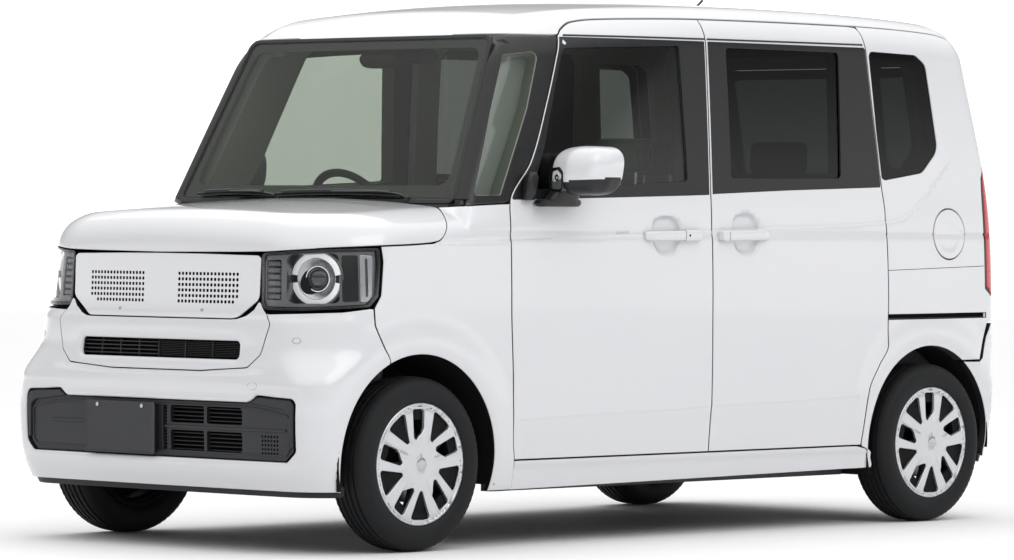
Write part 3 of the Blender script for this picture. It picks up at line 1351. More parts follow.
bump_obj = panel("front_bumper_shell", ["paint", "plastic_dark"], BM, bl, [to_f(rounded(low_open))],
                 slot="body_paint", depth=26, grid=15, r=2.6, hr=6.0, hdepth=34, lines=[to_f(spread(low_open, k)) for k in (9, 14, 20)])[0]
in_top = densify([(0, 726), (326, 726), (352, 728), (385, 738), (415, 757), (431, 779), (436, 781), (441, 777), (446, 768), (453, 757), (465.0, 746.2)], 7, False)
in_half = np.vstack([to_f(in_top), to_f(insert_seam(-1.6))[::-1], to_f([(0, 564.6)])])
in_other = in_half[::-1] * np.array([-1, 1])
panel("front_bumper_insert", ["paint", "plastic_dark"], BM, loop_from(FM, (None, np.vstack([in_half, in_other[1:-1]]))), [to_f(rounded(up_open))],
      slot="body_paint", depth=16, grid=14, r=2.2, hr=7.0, hdepth=34, lines=[to_f(spread(up_open, k)) for k in (10, 14, 19, 26)])
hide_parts("front_bumper")

# ------------------------------------------------------------------ bonnet
BON = DomeMap((0, -1270, 780), 420.0)
by = np.linspace(-1034, -1560, 90)
bx3 = SIDE_IN(by.copy(), BSEAM(by) + 2.5)
side_run = BON.back(bx3)
# front corner: round the nose at the seam height
ang = np.linspace(np.arctan2(bx3[-1][0], -(bx3[-1][1] + 1150)), 0, 60)[1:]
fz = np.interp(np.degrees(ang), [0, 20, 35, 43, 50, 55.7, 60], [932, 933.5, 935, 937, 943, 948, 951])
noser = RadialMap(0, -1150, 1.0)
front_run = BON.back(noser(ang, fz + 2.5))
rear_x = np.linspace(0, bx3[0][0], 60)[:-1]
o = np.stack([rear_x, np.full_like(rear_x, -1034.0), np.full_like(rear_x, 900.0)], 1)
tt = along(o, np.tile([0, 0, 1.0], (len(o), 1)), 0, 300)
rear_run = BON.back(o + np.array([0, 0, 1.0]) * tt[:, None])
bonl = np.vstack([rear_run, side_run, front_run])
bonr = bonl[::-1] * np.array([-1, 1])
bon = np.vstack([bonl, bonr[1:-1]])
keep_i = [0]
for i in range(1, len(bon)):
    if np.hypot(*(bon[i] - bon[keep_i[-1]])) > 1.5:
        keep_i.append(i)
bon = bon[keep_i]
bon_obj = panel("bonnet_shell", ["paint", "steel_under"], BON, bon, body="bonnet", slot="body_paint", depth=22, grid=11, r=3.0)[0]
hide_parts("bonnet")

# -------------------------------------------------------------------- roof
RM = RoofMap(1300, 520.0)
ry = np.concatenate([np.linspace(-716, -560, 20), np.linspace(-552, -436, 24), np.linspace(-425, 1400, 150), np.linspace(1408, 1520, 18)])
seam3 = SIDE_IN(ry.copy(), ROOF_SEAM(ry) + 2.5)
side_run = RM.back(seam3)


def top_z(x, y):
    o = np.stack([x, np.full_like(x, float(y)), np.full_like(x, 1400.0)], 1)
    t = along(o, np.tile([0, 0, 1.0], (len(o), 1)), 0, 500)
    return o + np.array([0, 0, 1.0]) * t[:, None]


def edge_at(xs, z):
    """Where the screen slope reaches height z at each x."""
    return np.stack([xs, np.full_like(xs, 0.0), np.full_like(xs, z)], 1)


fx = np.linspace(0, seam3[0][0], 60)[:-1]
# the header edge runs above the screen's top edge, bowed forward in the middle
fy = -998 + (1640 - 1100) * 0.487 + 14 * (fx / 660.0) ** 2 - 14 + 4
fz3 = np.stack([fx, fy + 0.0, np.full_like(fx, 1300.0)], 1)
tt = along(fz3, np.tile([0, 0, 1.0], (len(fx), 1)), 0, 600)
front3 = fz3 + np.array([0, 0, 1.0]) * tt[:, None]
front_run = RM.back(front3)
rx = np.linspace(seam3[-1][0], 0, 70)[1:]
rear3 = np.stack([rx, np.full_like(rx, 1300.0), np.full_like(rx, 1650.0)], 1)
tt = along(rear3, np.tile([0, 1.0, 0], (len(rx), 1)), 0, 500)
rear_p = rear3 + np.array([0, 1.0, 0]) * tt[:, None]
zr = np.interp(rx, [0, 562, 600, seam3[-1][0]], [1651, 1651, 1653, ROOF_SEAM(1520) + 2.5])
rear3 = np.stack([rx, np.full_like(rx, 1300.0), zr], 1)
tt = along(rear3, np.tile([0, 1.0, 0], (len(rx), 1)), 0, 500)
rear_p = rear3 + np.array([0, 1.0, 0]) * tt[:, None]
rear_run = RM.back(rear_p)
rl = np.vstack([front_run, side_run, rear_run])
rr_ = rl[::-1] * np.array([-1, 1])
rf = np.vstack([rl, rr_[1:-1]])
keep_i = [0]
for i in range(1, len(rf)):
    if np.hypot(*(rf[i] - rf[keep_i[-1]])) > 2.0:
        keep_i.append(i)
rf = rf[keep_i]
roof_obj = panel("roof_shell", ["paint", "headliner"], RM, rf, slot="body_paint", depth=30, grid=16, r=3.0)[0]
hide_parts("roof_panel")

# ---------------------------------------------------------------- tailgate
tail_outline = [(-560, 478, 30), (-TW, 700, 0), (-TW, 1300, 0), (-562, 1644, 30), (562, 1644, 30), (TW, 1300, 0), (TW, 700, 0), (560, 478, 30)]
rear_window = [(-500, 1110, 40), (-484, 1592, 50), (484, 1592, 50), (500, 1110, 40)]


class TailMap(RearMap):
    """The tailgate with its plate recess pressed in."""
    def __call__(self, u, v):
        p = RearMap.__call__(self, u, v)
        x, z = np.abs(u), v
        rec = smooth(290, 262, x) * smooth(752, 776, z) * smooth(1012, 990, z)
        p[:, 1] -= 10.0 * rec
        p[:, 1] -= 3.0 * smooth(1060, 1048, z) * smooth(1024, 1040, z)
        return p


rec_pts = [densify([(-s, a), (s, a), (s, b), (-s, b)], 9) for s, a, b in ((291, 751, 1013), (276, 764, 1001), (261, 777, 989))]
tail_obj = panel("tailgate_shell", ["paint", "cabin_plastic"], TailMap(), rounded(tail_outline), [rounded(rear_window)], body="tailgate",
                 slot="body_paint", depth=56, grid=17, r=3.0, hr=3.0, lines=rec_pts)[0]
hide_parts("tailgate")
RBM = RadialMap(0, 1150, 560.0)


def rear_back(p):
    a = np.arctan2(p[:, 0], -(p[:, 1] - 1150))
    return np.stack([a * 560.0, p[:, 2]], 1)


half_up = np.vstack([rear_back(REARM(np.array(densify([(TW + 6, 560), (TW + 6, 684)], 8, False))[:, 0].copy(),
                                     np.array(densify([(TW + 6, 560), (TW + 6, 684)], 8, False))[:, 1].copy()))])
edge_side = densify([(1640, 686), (1610, 640), (1585, 565), (1566, 552)], 8, False)
arc_rear = arc_points(YB - 9, 328, 55.0, -8.0, 60)
sr = np.vstack([edge_side, arc_rear])
sr3 = rear_back(SIDE_IN(sr[:, 0].copy(), sr[:, 1].copy()))
u_tail = half_up[0][0]
u_mid = math.pi * 560.0
p_low = np.stack([np.linspace(u_tail, u_mid, 60), np.full(60, 472.0)], 1)
# start in the middle of the tail under the tailgate, go to the left side
topmid = p_low[::-1]
up = np.stack([np.full(26, u_tail), np.linspace(478, 684, 26)], 1)
u_e = sr3[0][0]
across = np.stack([np.linspace(u_tail, u_e, 20)[1:-1], np.full(18, 686.0)], 1)
bot = np.stack([np.linspace(sr3[-1][0], u_mid, 80)[1:], np.full(79, 217.0)], 1)
hl = np.vstack([topmid, up, across, sr3, bot])
hr_ = hl[::-1].copy()
hr_[:, 0] = 2 * u_mid - hr_[:, 0]
rbl = np.vstack([hl, hr_[1:-1]])
keep_i = [0]
for i in range(1, len(rbl)):
    if np.hypot(*(rbl[i] - rbl[keep_i[-1]])) > 2.0:
        keep_i.append(i)
rbl = rbl[keep_i]
rb_obj = panel("rear_bumper_shell", ["paint", "plastic_dark"], RBM, rbl, slot="body_paint", depth=26, grid=17, r=2.8)[0]
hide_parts("rear_bumper")

# ------------------------------------------------------------------- glass
scr = [(-640, 1101, 24), (-556, 1633, 34), (556, 1633, 34), (640, 1101, 24)]
ws = panel("windscreen_glass", "glass_screen", ScreenMap(1.0), rounded(scr, 12), slot="clear_glass", depth=4, grid=40, r=1.2, flip=False)[0]
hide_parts("windscreen")


def band(name, mat, fmap, outer, inner, body="body", mirror=None, **kw):
    return panel(name, mat, fmap, outer, [inner], body=body, mirror=mirror, **kw)


band("windscreen_border", "frit", ScreenMap(6.0), rounded([(-638, 1103, 24), (-555, 1631, 34), (555, 1631, 34), (638, 1103, 24)], 12),
     rounded([(-592, 1150, 40), (-524, 1596, 46), (524, 1596, 46), (592, 1150, 40)], 12), slot="dark_glass", depth=0.8, grid=40, r=0.3, arc=1)
band("windscreen_seal", "rubber_seal", ScreenMap(-2.0), rounded([(-650, 1092, 30), (-563, 1640, 40), (563, 1640, 40), (650, 1092, 30)], 10),
     rounded([(-634, 1106, 22), (-551, 1628, 34), (551, 1628, 34), (634, 1106, 22)], 10), slot="dark_plastic", depth=8, grid=40, r=3.0)

GD = 6.0
fg = panel("front_door_pane", "glass_front", SideMap(GD, False), rounded([(-700, 1138, 18), (-636, 1282), (-562, 1481), (-513, 1597, 28), (5, 1619, 10), (27, 1173, 10)]),
           body="front_door_left", mirror=True, slot="clear_glass", depth=4, grid=34, r=1.0)
for s_ in ("left", "right"):
    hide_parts("front_door_glass_" + s_)
sg = panel("sliding_door_pane", "glass_privacy", SideMap(GD, False), rounded([(244.5, 1181.5, 12), (237.5, 1620.5, 12), (824.5, 1620.5, 14), (814.5, 1187.5, 14)]),
           mirror=True, slot="dark_glass", depth=4, grid=34, r=1.0)
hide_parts("sliding_door_windows")
QG = RadialMap(180, 1250, 540.0, 5.0)
qg = panel("quarter_pane", "glass_privacy", QG, to_q(rounded([(1034, 1185, 28), (990, 1626, 18), (1245, 1620, 38), (1298, 1589, 38), (1350, 1290, 58), (1261, 1214, 58)])),
           mirror=True, slot="dark_glass", depth=4, grid=34, r=1.0)
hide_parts("quarter_windows")
panel("front_quarter_pane", "glass_front", SideMap(5.0, False), rounded([(-952, 1120, 7), (-754, 1570, 28), (-613, 1588, 18), (-692, 1400), (-843, 1122, 7)]),
      mirror=True, slot="clear_glass", depth=4, grid=34, r=1.0)
tgp = panel("tailgate_pane", "glass_privacy", RearMap(5.0), rounded([(-498, 1112, 38), (-482, 1590, 48), (482, 1590, 48), (498, 1112, 38)]), body="tailgate",
            slot="dark_glass", depth=4, grid=34, r=1.0)[0]
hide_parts("tailgate_glass")

# black borders printed on the panes
band("sliding_pane_border", "frit", SideMap(GD + 4.6, False), rounded([(243, 1180, 12), (236, 1622, 12), (826, 1622, 14), (816, 1186, 14)]),
     rounded([(262, 1200, 14), (256, 1604, 14), (806, 1604, 16), (797, 1206, 16)]), mirror=True, slot="dark_glass", depth=0.8, grid=30, r=0.3, arc=1)
band("quarter_pane_border", "frit", RadialMap(180, 1250, 540.0, 9.8), to_q(rounded([(1034, 1185, 28), (990, 1626, 18), (1245, 1620, 38), (1298, 1589, 38), (1350, 1290, 58), (1261, 1214, 58)])),
     to_q(rounded([(1078, 1222, 50), (1046, 1590, 44), (1218, 1588, 50), (1262, 1566, 40), (1312, 1300, 60), (1240, 1240, 60)])), mirror=True, slot="dark_glass", depth=0.8, grid=30, r=0.3, arc=1)
band("tailgate_pane_border", "frit", RearMap(9.8), rounded([(-498, 1112, 38), (-482, 1590, 48), (482, 1590, 48), (498, 1112, 38)]),
     rounded([(-466, 1146, 40), (-452, 1556, 48), (452, 1556, 48), (466, 1146, 40)]), body="tailgate", slot="dark_glass", depth=0.8, grid=30, r=0.3, arc=1)

# ============================================================== black trim
OUT1 = SideMap(-0.8, False)


def side_trim(name, pts, holes=(), body="body", mat="trim_black", off=-0.8, depth=3.0, r=1.0, grid=26, mirror=True, slot="dark_plastic"):
    return panel(name, mat, SideMap(off, False), pts, holes, body=body, mirror=mirror, slot=slot, depth=depth, r=r, grid=grid, arc=2)


# on the front door: the slanted front of the frame and the strip to the rear edge
zf = np.linspace(1112, 1634, 70)
dtrim_front = np.stack([DFRONT(zf) + 3.0, zf], 1)
front_frame = np.vstack([dtrim_front, densify([(-512, 1636), (134, 1638), (134, 1128), (36, 1125)], 8, False),
                         densify([(36, 1125), (-400, 1114.5), (-700, 1108), (-792, 1106)], 8, False)])
side_trim("front_door_frame_trim", loop_from(SIDE, (None, front_frame)), [rounded([(-703, 1137, 20), (-638, 1282), (-564, 1481), (-514, 1599, 30), (6, 1620, 12), (28, 1173, 12)])],
          body="front_door_left")
zr_ = np.linspace(1172, 1634, 60)
slide_frame = np.vstack([densify([(150, 1130), (150, 1637)], 8, False), densify([(158, 1638), (962, 1640)], 8, False),
                         np.stack([SREAR(zr_[::-1]) - 3.0, zr_[::-1]], 1), densify([(1024, 1160), (544, 1146), (158, 1131)], 8, False)])
side_trim("sliding_door_frame_trim", loop_from(SIDE, (None, slide_frame)), [rounded([(246, 1183, 14), (239, 1619, 14), (823, 1619, 16), (813, 1189, 16)])])
# narrow rubber along the top of the door glass
for nm, pts, bd in (("front_door_upper_seal", [(-498, 1642), (136, 1646)], "front_door_left"), ("sliding_door_upper_seal", [(148, 1646), (958, 1650)], "body")):
    a, b = pts
    q = rounded([(a[0], a[1] - 3), (a[0] + 4, a[1] + 3), (b[0], b[1] + 3), (b[0], b[1] - 3)], 9)
    side_trim(nm, q, body=bd, mat="rubber_seal", off=-2.4, depth=4, r=1.6)

# ===================================================== small shared shapes
def place(ob, body):
    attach(ob, body)
    return ob


def stud(name, mat, fmap, u, v, r, h, n=22, body="body", mirror=False, ry=None, sink=1.0):
    """A low domed button on a map."""
    ry = r if ry is None else ry
    c, nn, pu, pv = frame_of(fmap, np.array([[u, v]], float))
    c, nn = c[0], nn[0]
    a = pu[0] / np.linalg.norm(pu[0])
    b = np.cross(nn, a)
    V, F = [], []
    prof = [(1.0, -sink), (1.0, 0.35 * h), (0.9, 0.75 * h), (0.62, 0.95 * h), (0.3, h)]
    for k, z in prof:
        for i in range(n):
            t = 2 * math.pi * i / n
            V.append(c + a * r * k * math.cos(t) + b * ry * k * math.sin(t) + nn * z)
    V.append(c + nn * h)
    for j in range(len(prof) - 1):
        for i in range(n):
            i2 = (i + 1) % n
            F.append((j * n + i, j * n + i2, (j + 1) * n + i2, (j + 1) * n + i))
    last = len(V) - 1
    j = len(prof) - 1
    for i in range(n):
        F.append((j * n + i, j * n + (i + 1) % n, last))
    F.append(tuple(range(n))[::-1])
    ob = add(name, V, F, mat, body=body, mirror=mirror)
    autosmooth(ob, 50)
    return ob


def ring_line(name, mat, fmap, u, v, r, w=0.9, ry=None, body="body", mirror=None, off_h=0.15, slot=None):
    """A thin joint line round a button."""
    ry = r if ry is None else ry
    t = np.linspace(0, 2 * math.pi, 36, endpoint=False)
    o = np.stack([u + r * np.cos(t), v + ry * np.sin(t)], 1)
    i = np.stack([u + (r - w) * np.cos(t), v + (ry - w) * np.sin(t)], 1)
    return panel(name, mat, fmap, o, [i], body=body, mirror=mirror, slot=slot, depth=0.5, grid=60, r=0.1, arc=1)


def sector(name, mat, c, e1, e2, r0, r1, a0, a1, t, bev=1.5, steps=30, body="body", mirror=False, lean=0.0):
    """Part of a flat ring, angles in degrees, standing t proud of its plane; lean lowers its inner edge."""
    c, e1, e2 = np.array(c, float), np.array(e1, float), np.array(e2, float)
    nn = np.cross(e1, e2)
    prof = [(r0, 0.0), (r0, t - lean - bev), (r0 + bev, t - lean), (r1 - bev, t), (r1, t - bev), (r1, 0.0)]
    m = len(prof)
    full = abs(a1 - a0) > 359
    cnt = steps if full else steps + 1
    V, F = [], []
    for i in range(cnt):
        a = math.radians(a0 + (a1 - a0) * i / steps)
        d = e1 * math.cos(a) + e2 * math.sin(a)
        for r, h in prof:
            V.append(c + d * r + nn * h)
    for i in range(steps):
        i2 = (i + 1) % cnt
        for j in range(m):
            j2 = (j + 1) % m
            F.append((i * m + j, i * m + j2, i2 * m + j2, i2 * m + j))
    if not full:
        F.append(tuple(range(m))[::-1])
        F.append(tuple(steps * m + j for j in range(m)))
    ob = add(name, V, F, mat, body=body, mirror=mirror)
    autosmooth(ob, 35)
    return ob


def strip(name, mat, fmap, pts, w, depth=3.0, r=0.8, body="body", mirror=None, slot=None, grid=30):
    """A flat bar of even width along 2-D points of a map."""
    q = densify(pts, 14, False)
    t = np.gradient(q, axis=0)
    t /= np.linalg.norm(t, axis=1)[:, None]
    nrm = np.stack([-t[:, 1], t[:, 0]], 1)
    o = np.vstack([q + nrm * w / 2, (q - nrm * w / 2)[::-1]])
    return panel(name, mat, fmap, o, body=body, mirror=mirror, slot=slot, depth=depth, r=r, grid=grid, arc=2)


def both_sides(fn):
    return [fn(False), fn(True)]


# ==================================================================== wheels
RRM = 178.0
TH = 652.5
HWD = 77.5


def tyre_mesh(n=216):
    hw = HWD
    out = [(hw - 23, RRM + 1, 0), (hw - 22.5, RRM + 14, 0), (hw - 14, 192, 0), (hw - 8.5, 196, 0), (hw - 5, 200.5, 0), (hw - 2.4, 208, 0), (hw - 0.8, 218, 0),
           (hw, 228, 0), (hw - 0.6, 238, 0), (hw - 3.0, 246.5, 0), (hw - 4.4, 249, 0), (hw - 4.6, 251.2, 1), (hw - 9, 258.5, 1),
           (hw - 15, 264.5, 1), (hw - 22, 269.2, 1), (hw - 28.5, 271.6, 1), (hw - 30, 271.9, 0), (hw - 31, 266.8, 0), (hw - 37, 266.8, 0), (hw - 38, 273.2, 0),
           (26, 274.3, 0), (25, 268.5, 0), (17, 268.5, 0), (16, 274.8, 0), (4.2, 275, 0), (3.4, 269, 0), (-3.4, 269, 0), (-4.2, 275, 0)]
    half = out[:-2]
    prof = [(x, r, k) for x, r, k in half] + [(-x, r, k) for x, r, k in half[::-1]]
    inner = [(-hw + 36, RRM + 1, 0), (-hw + 19, 206, 0), (-hw + 14, 228, 0), (-hw + 24, 250, 0), (-hw + 42, 258, 0), (hw - 42, 258, 0), (hw - 24, 250, 0),
             (hw - 14, 228, 0), (hw - 19, 206, 0), (hw - 36, RRM + 1, 0)]
    prof = prof + inner
    m = len(prof)
    V, F = [], []
    for i in range(n):
        a = 2 * math.pi * i / n
        ca, sa = math.cos(a), math.sin(a)
        for j, (x, r, k) in enumerate(prof):
            rr = r - (1.7 if (k and i % 3 == 0) else 0.0)
            if 20 <= j <= m - 31 and not k and r > 273 and (i + (j % 2) * 4) % 9 == 0:
                rr -= 3.0
            V.append((x, rr * ca, rr * sa))
    for i in range(n):
        i2 = (i + 1) % n
        for j in range(m):
            j2 = (j + 1) % m
            F.append((i * m + j, i2 * m + j, i2 * m + j2, i * m + j2))
    return np.array(V), F


TV, TF = tyre_mesh()


def cover_height(u, v):
    r = np.hypot(u, v)
    h = np.interp(r, [0, 24, 28, 44, 60, 100, 140, 165, 178, 182, 186, 191, 193.5],
                  [7.0, 7.0, 4.6, 4.6, 4.6, 2.6, 2.6, 2.0, 0.5, -1.2, 2.2, 2.6, 0.0])
    a = np.arctan2(v, u)
    # the crest of each thin spoke and the slope of each wide one
    ph = np.mod(np.degrees(a) + 1.5 + 360, 72)
    thin = np.exp(-((np.minimum(np.abs(ph - 15), 72 - np.abs(ph - 15))) * r / 57.3 / 7.0) ** 2)
    wide = np.exp(-((np.minimum(np.abs(ph - 58), 72 - np.abs(ph - 58))) * r / 57.3 / 13.0) ** 2)
    k = smooth(40, 80, r) * (1 - smooth(160, 182, r))
    return h + k * (2.2 * thin + 1.6 * wide)


W1 = [(-.177, .912), (.093, .912), (.085, .588), (-.099, .40), (-.149, .44)]
W2 = [(.33, .87), (.48, .79), (.62, .68), (.70, .60), (.27, .355), (.222, .39)]


def spoke_windows():
    hs = []
    for k in range(5):
        a = math.radians(72 * k)
        for W, rr in ((W1, (9, 9, 5, 6, 8)), (W2, (8, 10, 10, 8, 5, 7))):
            pts = []
            for (x, y), r in zip(W, rr):
                X, Y = x * 193 * 0.985, y * 193 * 0.985
                pts.append((X * math.cos(a) + Y * math.sin(a), -X * math.sin(a) + Y * math.cos(a), r))
            hs.append(rounded(pts, 5.0))
    return hs


SW_ = spoke_windows()
for end, cy in (("front", YA), ("rear", YB)):
    CM = FlatMap((TH + 66.5, cy, ZA), (0, 1, 0), (0, 0, 1), cover_height)
    cv, cf, cg, cl = panel_mesh(CM, circle(0, 0, 193.2, 120), SW_, grid=8.5, r=1.4, depth=9, hr=2.6, hdepth=9.5, arc=2, inner_off=4.0)
    for side, mir in (("left", False), ("right", True)):
        bd = "road_wheel_%s_%s" % (end, side)
        t = add("tyre_rubber_%s_%s" % (end, side), TV + np.array([TH, cy, ZA]), TF, "tyre_rubber", body=bd, mirror=mir)
        autosmooth(t, 28)
        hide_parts("tyre_%s_%s" % (end, side))
        add("wheel_cover_%s_%s" % (end, side), cv, cf, ["wheel_silver", "wheel_dark"], np.where(cg == 2, 1, 0), cl, body=bd, mirror=mir)
        lathe_obj("hub_cap_%s_%s" % (end, side), "chrome_soft", [(0.01, 2.6), (12, 2.4), (19, 1.8), (22.0, 0.5), (22.8, -1.5), (22.8, -8), (0.01, -8)],
                  (TH + 73.0, cy, ZA), n=40, body=bd, closed=False, mirror=mir)
        lathe_obj("brake_disc_%s_%s" % (end, side), "brake_steel", [(58, -13), (119, -13), (121, -11), (121, 1), (119, 3), (58, 3)], (TH, cy, ZA), n=56, body=bd,
                  mirror=mir)

# ------------------------------------------------------------ arch liners
class ArcMap:
    """(length round the wheel, x) on a cylinder over the wheel."""
    def __init__(self, yc, zc, r):
        self.yc, self.zc, self.r = yc, zc, r

    def __call__(self, u, v):
        a = u / self.r
        return np.stack([v, self.yc + self.r * np.cos(a), self.zc + self.r * np.sin(a)], 1)

    def back(self, p):
        return np.stack([np.arctan2(p[:, 2] - self.zc, p[:, 1] - self.yc) * self.r, p[:, 0]], 1)


def rect(a, b, c, d, r=0.0, step=20.0):
    return rounded([(a, c, r), (b, c, r), (b, d, r), (a, d, r)], step)


RA = math.pi / 180
panel("front_arch_liner", ["liner_felt"], ArcMap(YA - 3, 284, 352), rect(-14 * RA * 352, 194 * RA * 352, 404, 716), mirror=True, slot="dark_plastic",
      depth=4, grid=34, r=1.0)
panel("front_arch_wall", ["liner_felt"], FlatMap((404, YA - 3, 284), (0, 1, 0), (0, 0, 1)),
      densify([(350 * math.cos(a), 350 * math.sin(a)) for a in np.radians(np.linspace(8, 172, 60))], 18), mirror=True, slot="dark_plastic", depth=4, grid=50, r=1.0)
panel("rear_arch_liner", ["liner_felt"], ArcMap(YB - 9, 284, 333), rect(-6 * RA * 333, 200 * RA * 333, 556, 714), mirror=True, slot="dark_plastic",
      depth=4, grid=34, r=1.0)

# ============================================================== front details
NOSE = lambda off: RadialMap(0, -1150, 560.0, off)
gpo = [(-345, 730, 70), (-432, 790, 30), (-434, 918, 8), (-420, 926.5, 6), (-200, 930), (0, 931), (200, 930), (420, 926.5, 6), (434, 918, 8), (432, 790, 30), (345, 730, 70)]
gholes = []
for sx in (-1, 1):
    for c in range(17):
        for r_ in range(6):
            x, z = sx * (84.5 + 15.9 * c), 780.0 + 17.4 * r_
            if r_ == 0 and (c >= 16 or (sx < 0 and c >= 15)):
                continue
            h = 4.9
            gholes.append(rounded([(x - h, z - h, 2.6), (x + h, z - h, 2.6), (x + h, z + h, 2.6), (x - h, z + h, 2.6)], 12))
gp = panel("grille_cover", ["paint", "plastic_dark"], FrontMap(2.0), rounded(gpo, 8), gholes, slot="body_paint", depth=9, grid=13, r=2.6, hr=0.7, hdepth=3.0, arc=2, inner_off=3.0)[0]
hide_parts("grille_panel")
panel("grille_backing", "void_black", FrontMap(16), rounded([(-405, 758), (-405, 905), (405, 905), (405, 758)]), slot="dark_plastic", depth=3, grid=60, r=1)
for sx, nm in ((-192, "right"), (192, "left")):
    stud("grille_sensor_" + nm, "chrome_soft", FrontMap(2.0), sx, 753, 5.2, 0.8, ry=3.8)
    ring_line("grille_sensor_line_" + nm, "rubber_seal", FrontMap(1.7), sx, 753, 6.6, 0.8, ry=5.0, slot="dark_plastic")
for sx in (-1, 1):
    nm = "left" if sx > 0 else "right"
    stud("bumper_sensor_" + nm, "paint", BM, sx * float(to_f([(590, 664)])[0][0]), 664, 8.0, 1.0)
    ring_line("bumper_sensor_line_" + nm, "rubber_seal", BM, sx * float(to_f([(590, 664)])[0][0]), 664, 9.6, 1.0, slot="dark_plastic")
tu = float(to_f([(447, 522)])[0][0])
ring_line("tow_cap_line", "plate_grey", BM, tu, 522, 13.0, 0.7, ry=12.0, slot="dark_plastic")

# dark seam shadows behind the middle piece and round the lamps
panel("nose_backing", "void_black", NOSE(24), rounded([(-500, 535), (-500, 770), (500, 770), (500, 535)]),
      [rounded([(-380, 600, 10), (-380, 661, 10), (380, 661, 10), (380, 600, 10)])], slot="dark_plastic", depth=3, grid=60, r=1)

# upper intake
ub = FrontMap(36)
panel("upper_intake_back", "void_black", ub, rounded([(-378, 598), (-378, 663), (378, 663), (378, 598)]), slot="dark_plastic", depth=3, grid=60, r=1)
bars = []
for z in (611.5, 624, 636.5, 649):
    bars += strip("b", "trim_black", FrontMap(15), [(-366, z), (-4, z)], 4.2, depth=12, r=1.6)
for x in (-277, -186, -95):
    bars += strip("b", "trim_black", FrontMap(17), [(x, 606), (x, 655)], 5.0, depth=12, r=1.6)
for z in np.linspace(609, 652, 9):
    bars += strip("b", "trim_black", FrontMap(18), [(4, z), (366, z)], 1.7, depth=8, r=0.6)
for x in (0.0, 122, 244):
    bars += strip("b", "trim_black", FrontMap(15), [(x, 606), (x, 655)], 4.6, depth=12, r=1.6)
place(join(bars, "upper_intake_bars"), "body")

# lower grille: a dark moulding with slatted openings, a rib and a number plate place
LG = NOSE(25)
lo_in = [(-598, 290.5, 19), (-633.5, 322, 22), (-633.5, 483, 22), (-470.5, 489, 19), (-425, 467.5, 10), (425, 467.5, 10), (470.5, 489, 19), (633.5, 483, 22), (633.5, 322, 22), (598, 290.5, 19)]
opens = [[(64, 398, 7), (64, 452, 7), (225, 452, 7), (225, 398, 7)], [(239, 398, 7), (239, 452, 7), (396, 452, 14), (404, 440, 10), (404, 398, 7)],
         [(64, 307, 7), (64, 374, 7), (225, 374, 7), (225, 307, 7)], [(239, 307, 7), (239, 374, 7), (404, 374, 7), (404, 320, 10), (392, 307, 14)],
         [(27, 307, 5), (27, 452, 5), (45, 452, 5), (45, 307, 5)]]
dots = [(x, z) for x in np.linspace(497, 564, 6) for z in np.linspace(314, 366, 5)]
dot_holes = [to_f(circle(x, z, 3.9, 12)) for x, z in dots]
lg = panel("lower_grille", ["plastic_grey", "plastic_dark"], LG, to_f(rounded(lo_in)), [to_f(rounded(o_, 12)) for o_ in opens] + dot_holes, slot="dark_plastic",
           depth=14, grid=17, r=2.0, hr=1.6, hdepth=16, arc=2)[0]
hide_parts("bumper_grilles")
panel("lower_grille_back", "void_black", NOSE(62), to_f(rounded([(-610, 300), (-610, 475), (610, 475), (610, 300)])), slot="dark_plastic", depth=3, grid=70, r=1)
fr_ = []
for a, b in (((-520, 390), (-325, 390)), ((39, 385), (602, 385))):
    fr_ += panel("r", "plastic_grey", NOSE(19), to_f(rounded([(a[0], a[1] - 4.6, 4.4), (b[0], b[1] - 4.6, 4.4), (b[0], b[1] + 4.6, 4.4), (a[0], a[1] + 4.6, 4.4)], 14)),
                 depth=8, grid=26, r=2.4, arc=2)
place(join(fr_, "lower_grille_ribs"), "body")
sl = []
for x0, x1, zs in ((62, 227, np.linspace(407, 445, 4)), (237, 406, np.linspace(407, 445, 4)), (62, 227, np.linspace(315, 366, 5)), (237, 406, np.linspace(315, 366, 5))):
    for z in zs:
        sl += panel("s", "plastic_dark", NOSE(34), to_f(np.vstack([densify([(x0, z - 1.8), (x1, z - 1.8)], 16, False), densify([(x1, z + 1.8), (x0, z + 1.8)], 16, False)])),
                    depth=14, grid=60, r=0.9, arc=1)
for z in np.linspace(313, 446, 14):
    sl += panel("s", "plastic_dark", NOSE(30), to_f([(25.5, z - 1.8), (46.5, z - 1.8), (46.5, z + 1.8), (25.5, z + 1.8)]), depth=10, grid=60, r=0.7, arc=1)
place(join(sl, "lower_grille_slats"), "body")
# raised border inside the opening
fo = [(-600, 305, 14), (-618, 326, 18), (-618, 432, 18), (-500, 452, 14), (-424, 458, 10), (424, 458, 10), (500, 452, 14), (618, 432, 18), (618, 326, 18), (600, 305, 14)]
fi = [(-596, 311, 12), (-611, 328, 16), (-611, 426, 16), (-498, 446, 12), (-423, 452, 8), (423, 452, 8), (498, 446, 12), (611, 426, 16), (611, 328, 16), (596, 311, 12)]
panel("lower_grille_border", "plastic_grey", NOSE(21), to_f(rounded(fo)), [to_f(rounded(fi))], slot="dark_plastic", depth=7, grid=40, r=1.8, hr=1.8, arc=2)
# body-colour brows over both upper corners
brow = rounded([(440, 470), (474, 486, 16), (618, 480, 18), (631, 466, 10), (629, 330, 10), (616, 332, 8), (612, 440, 24), (590, 452, 14), (500, 463, 30)], 8)
panel("grille_brow", "plastic_grey", NOSE(12), to_f(brow), mirror=True, slot="dark_plastic", depth=16, grid=16, r=4.5)
soft_box("plate_bracket", "plastic_dark", (-308, -1690, 300), (2, -1672, 452), 5)


def plate_height(u, v):
    d = np.minimum(165 - np.abs(u), 82.5 - np.abs(v))
    return -1.3 * smooth(4.0, 8.5, d)


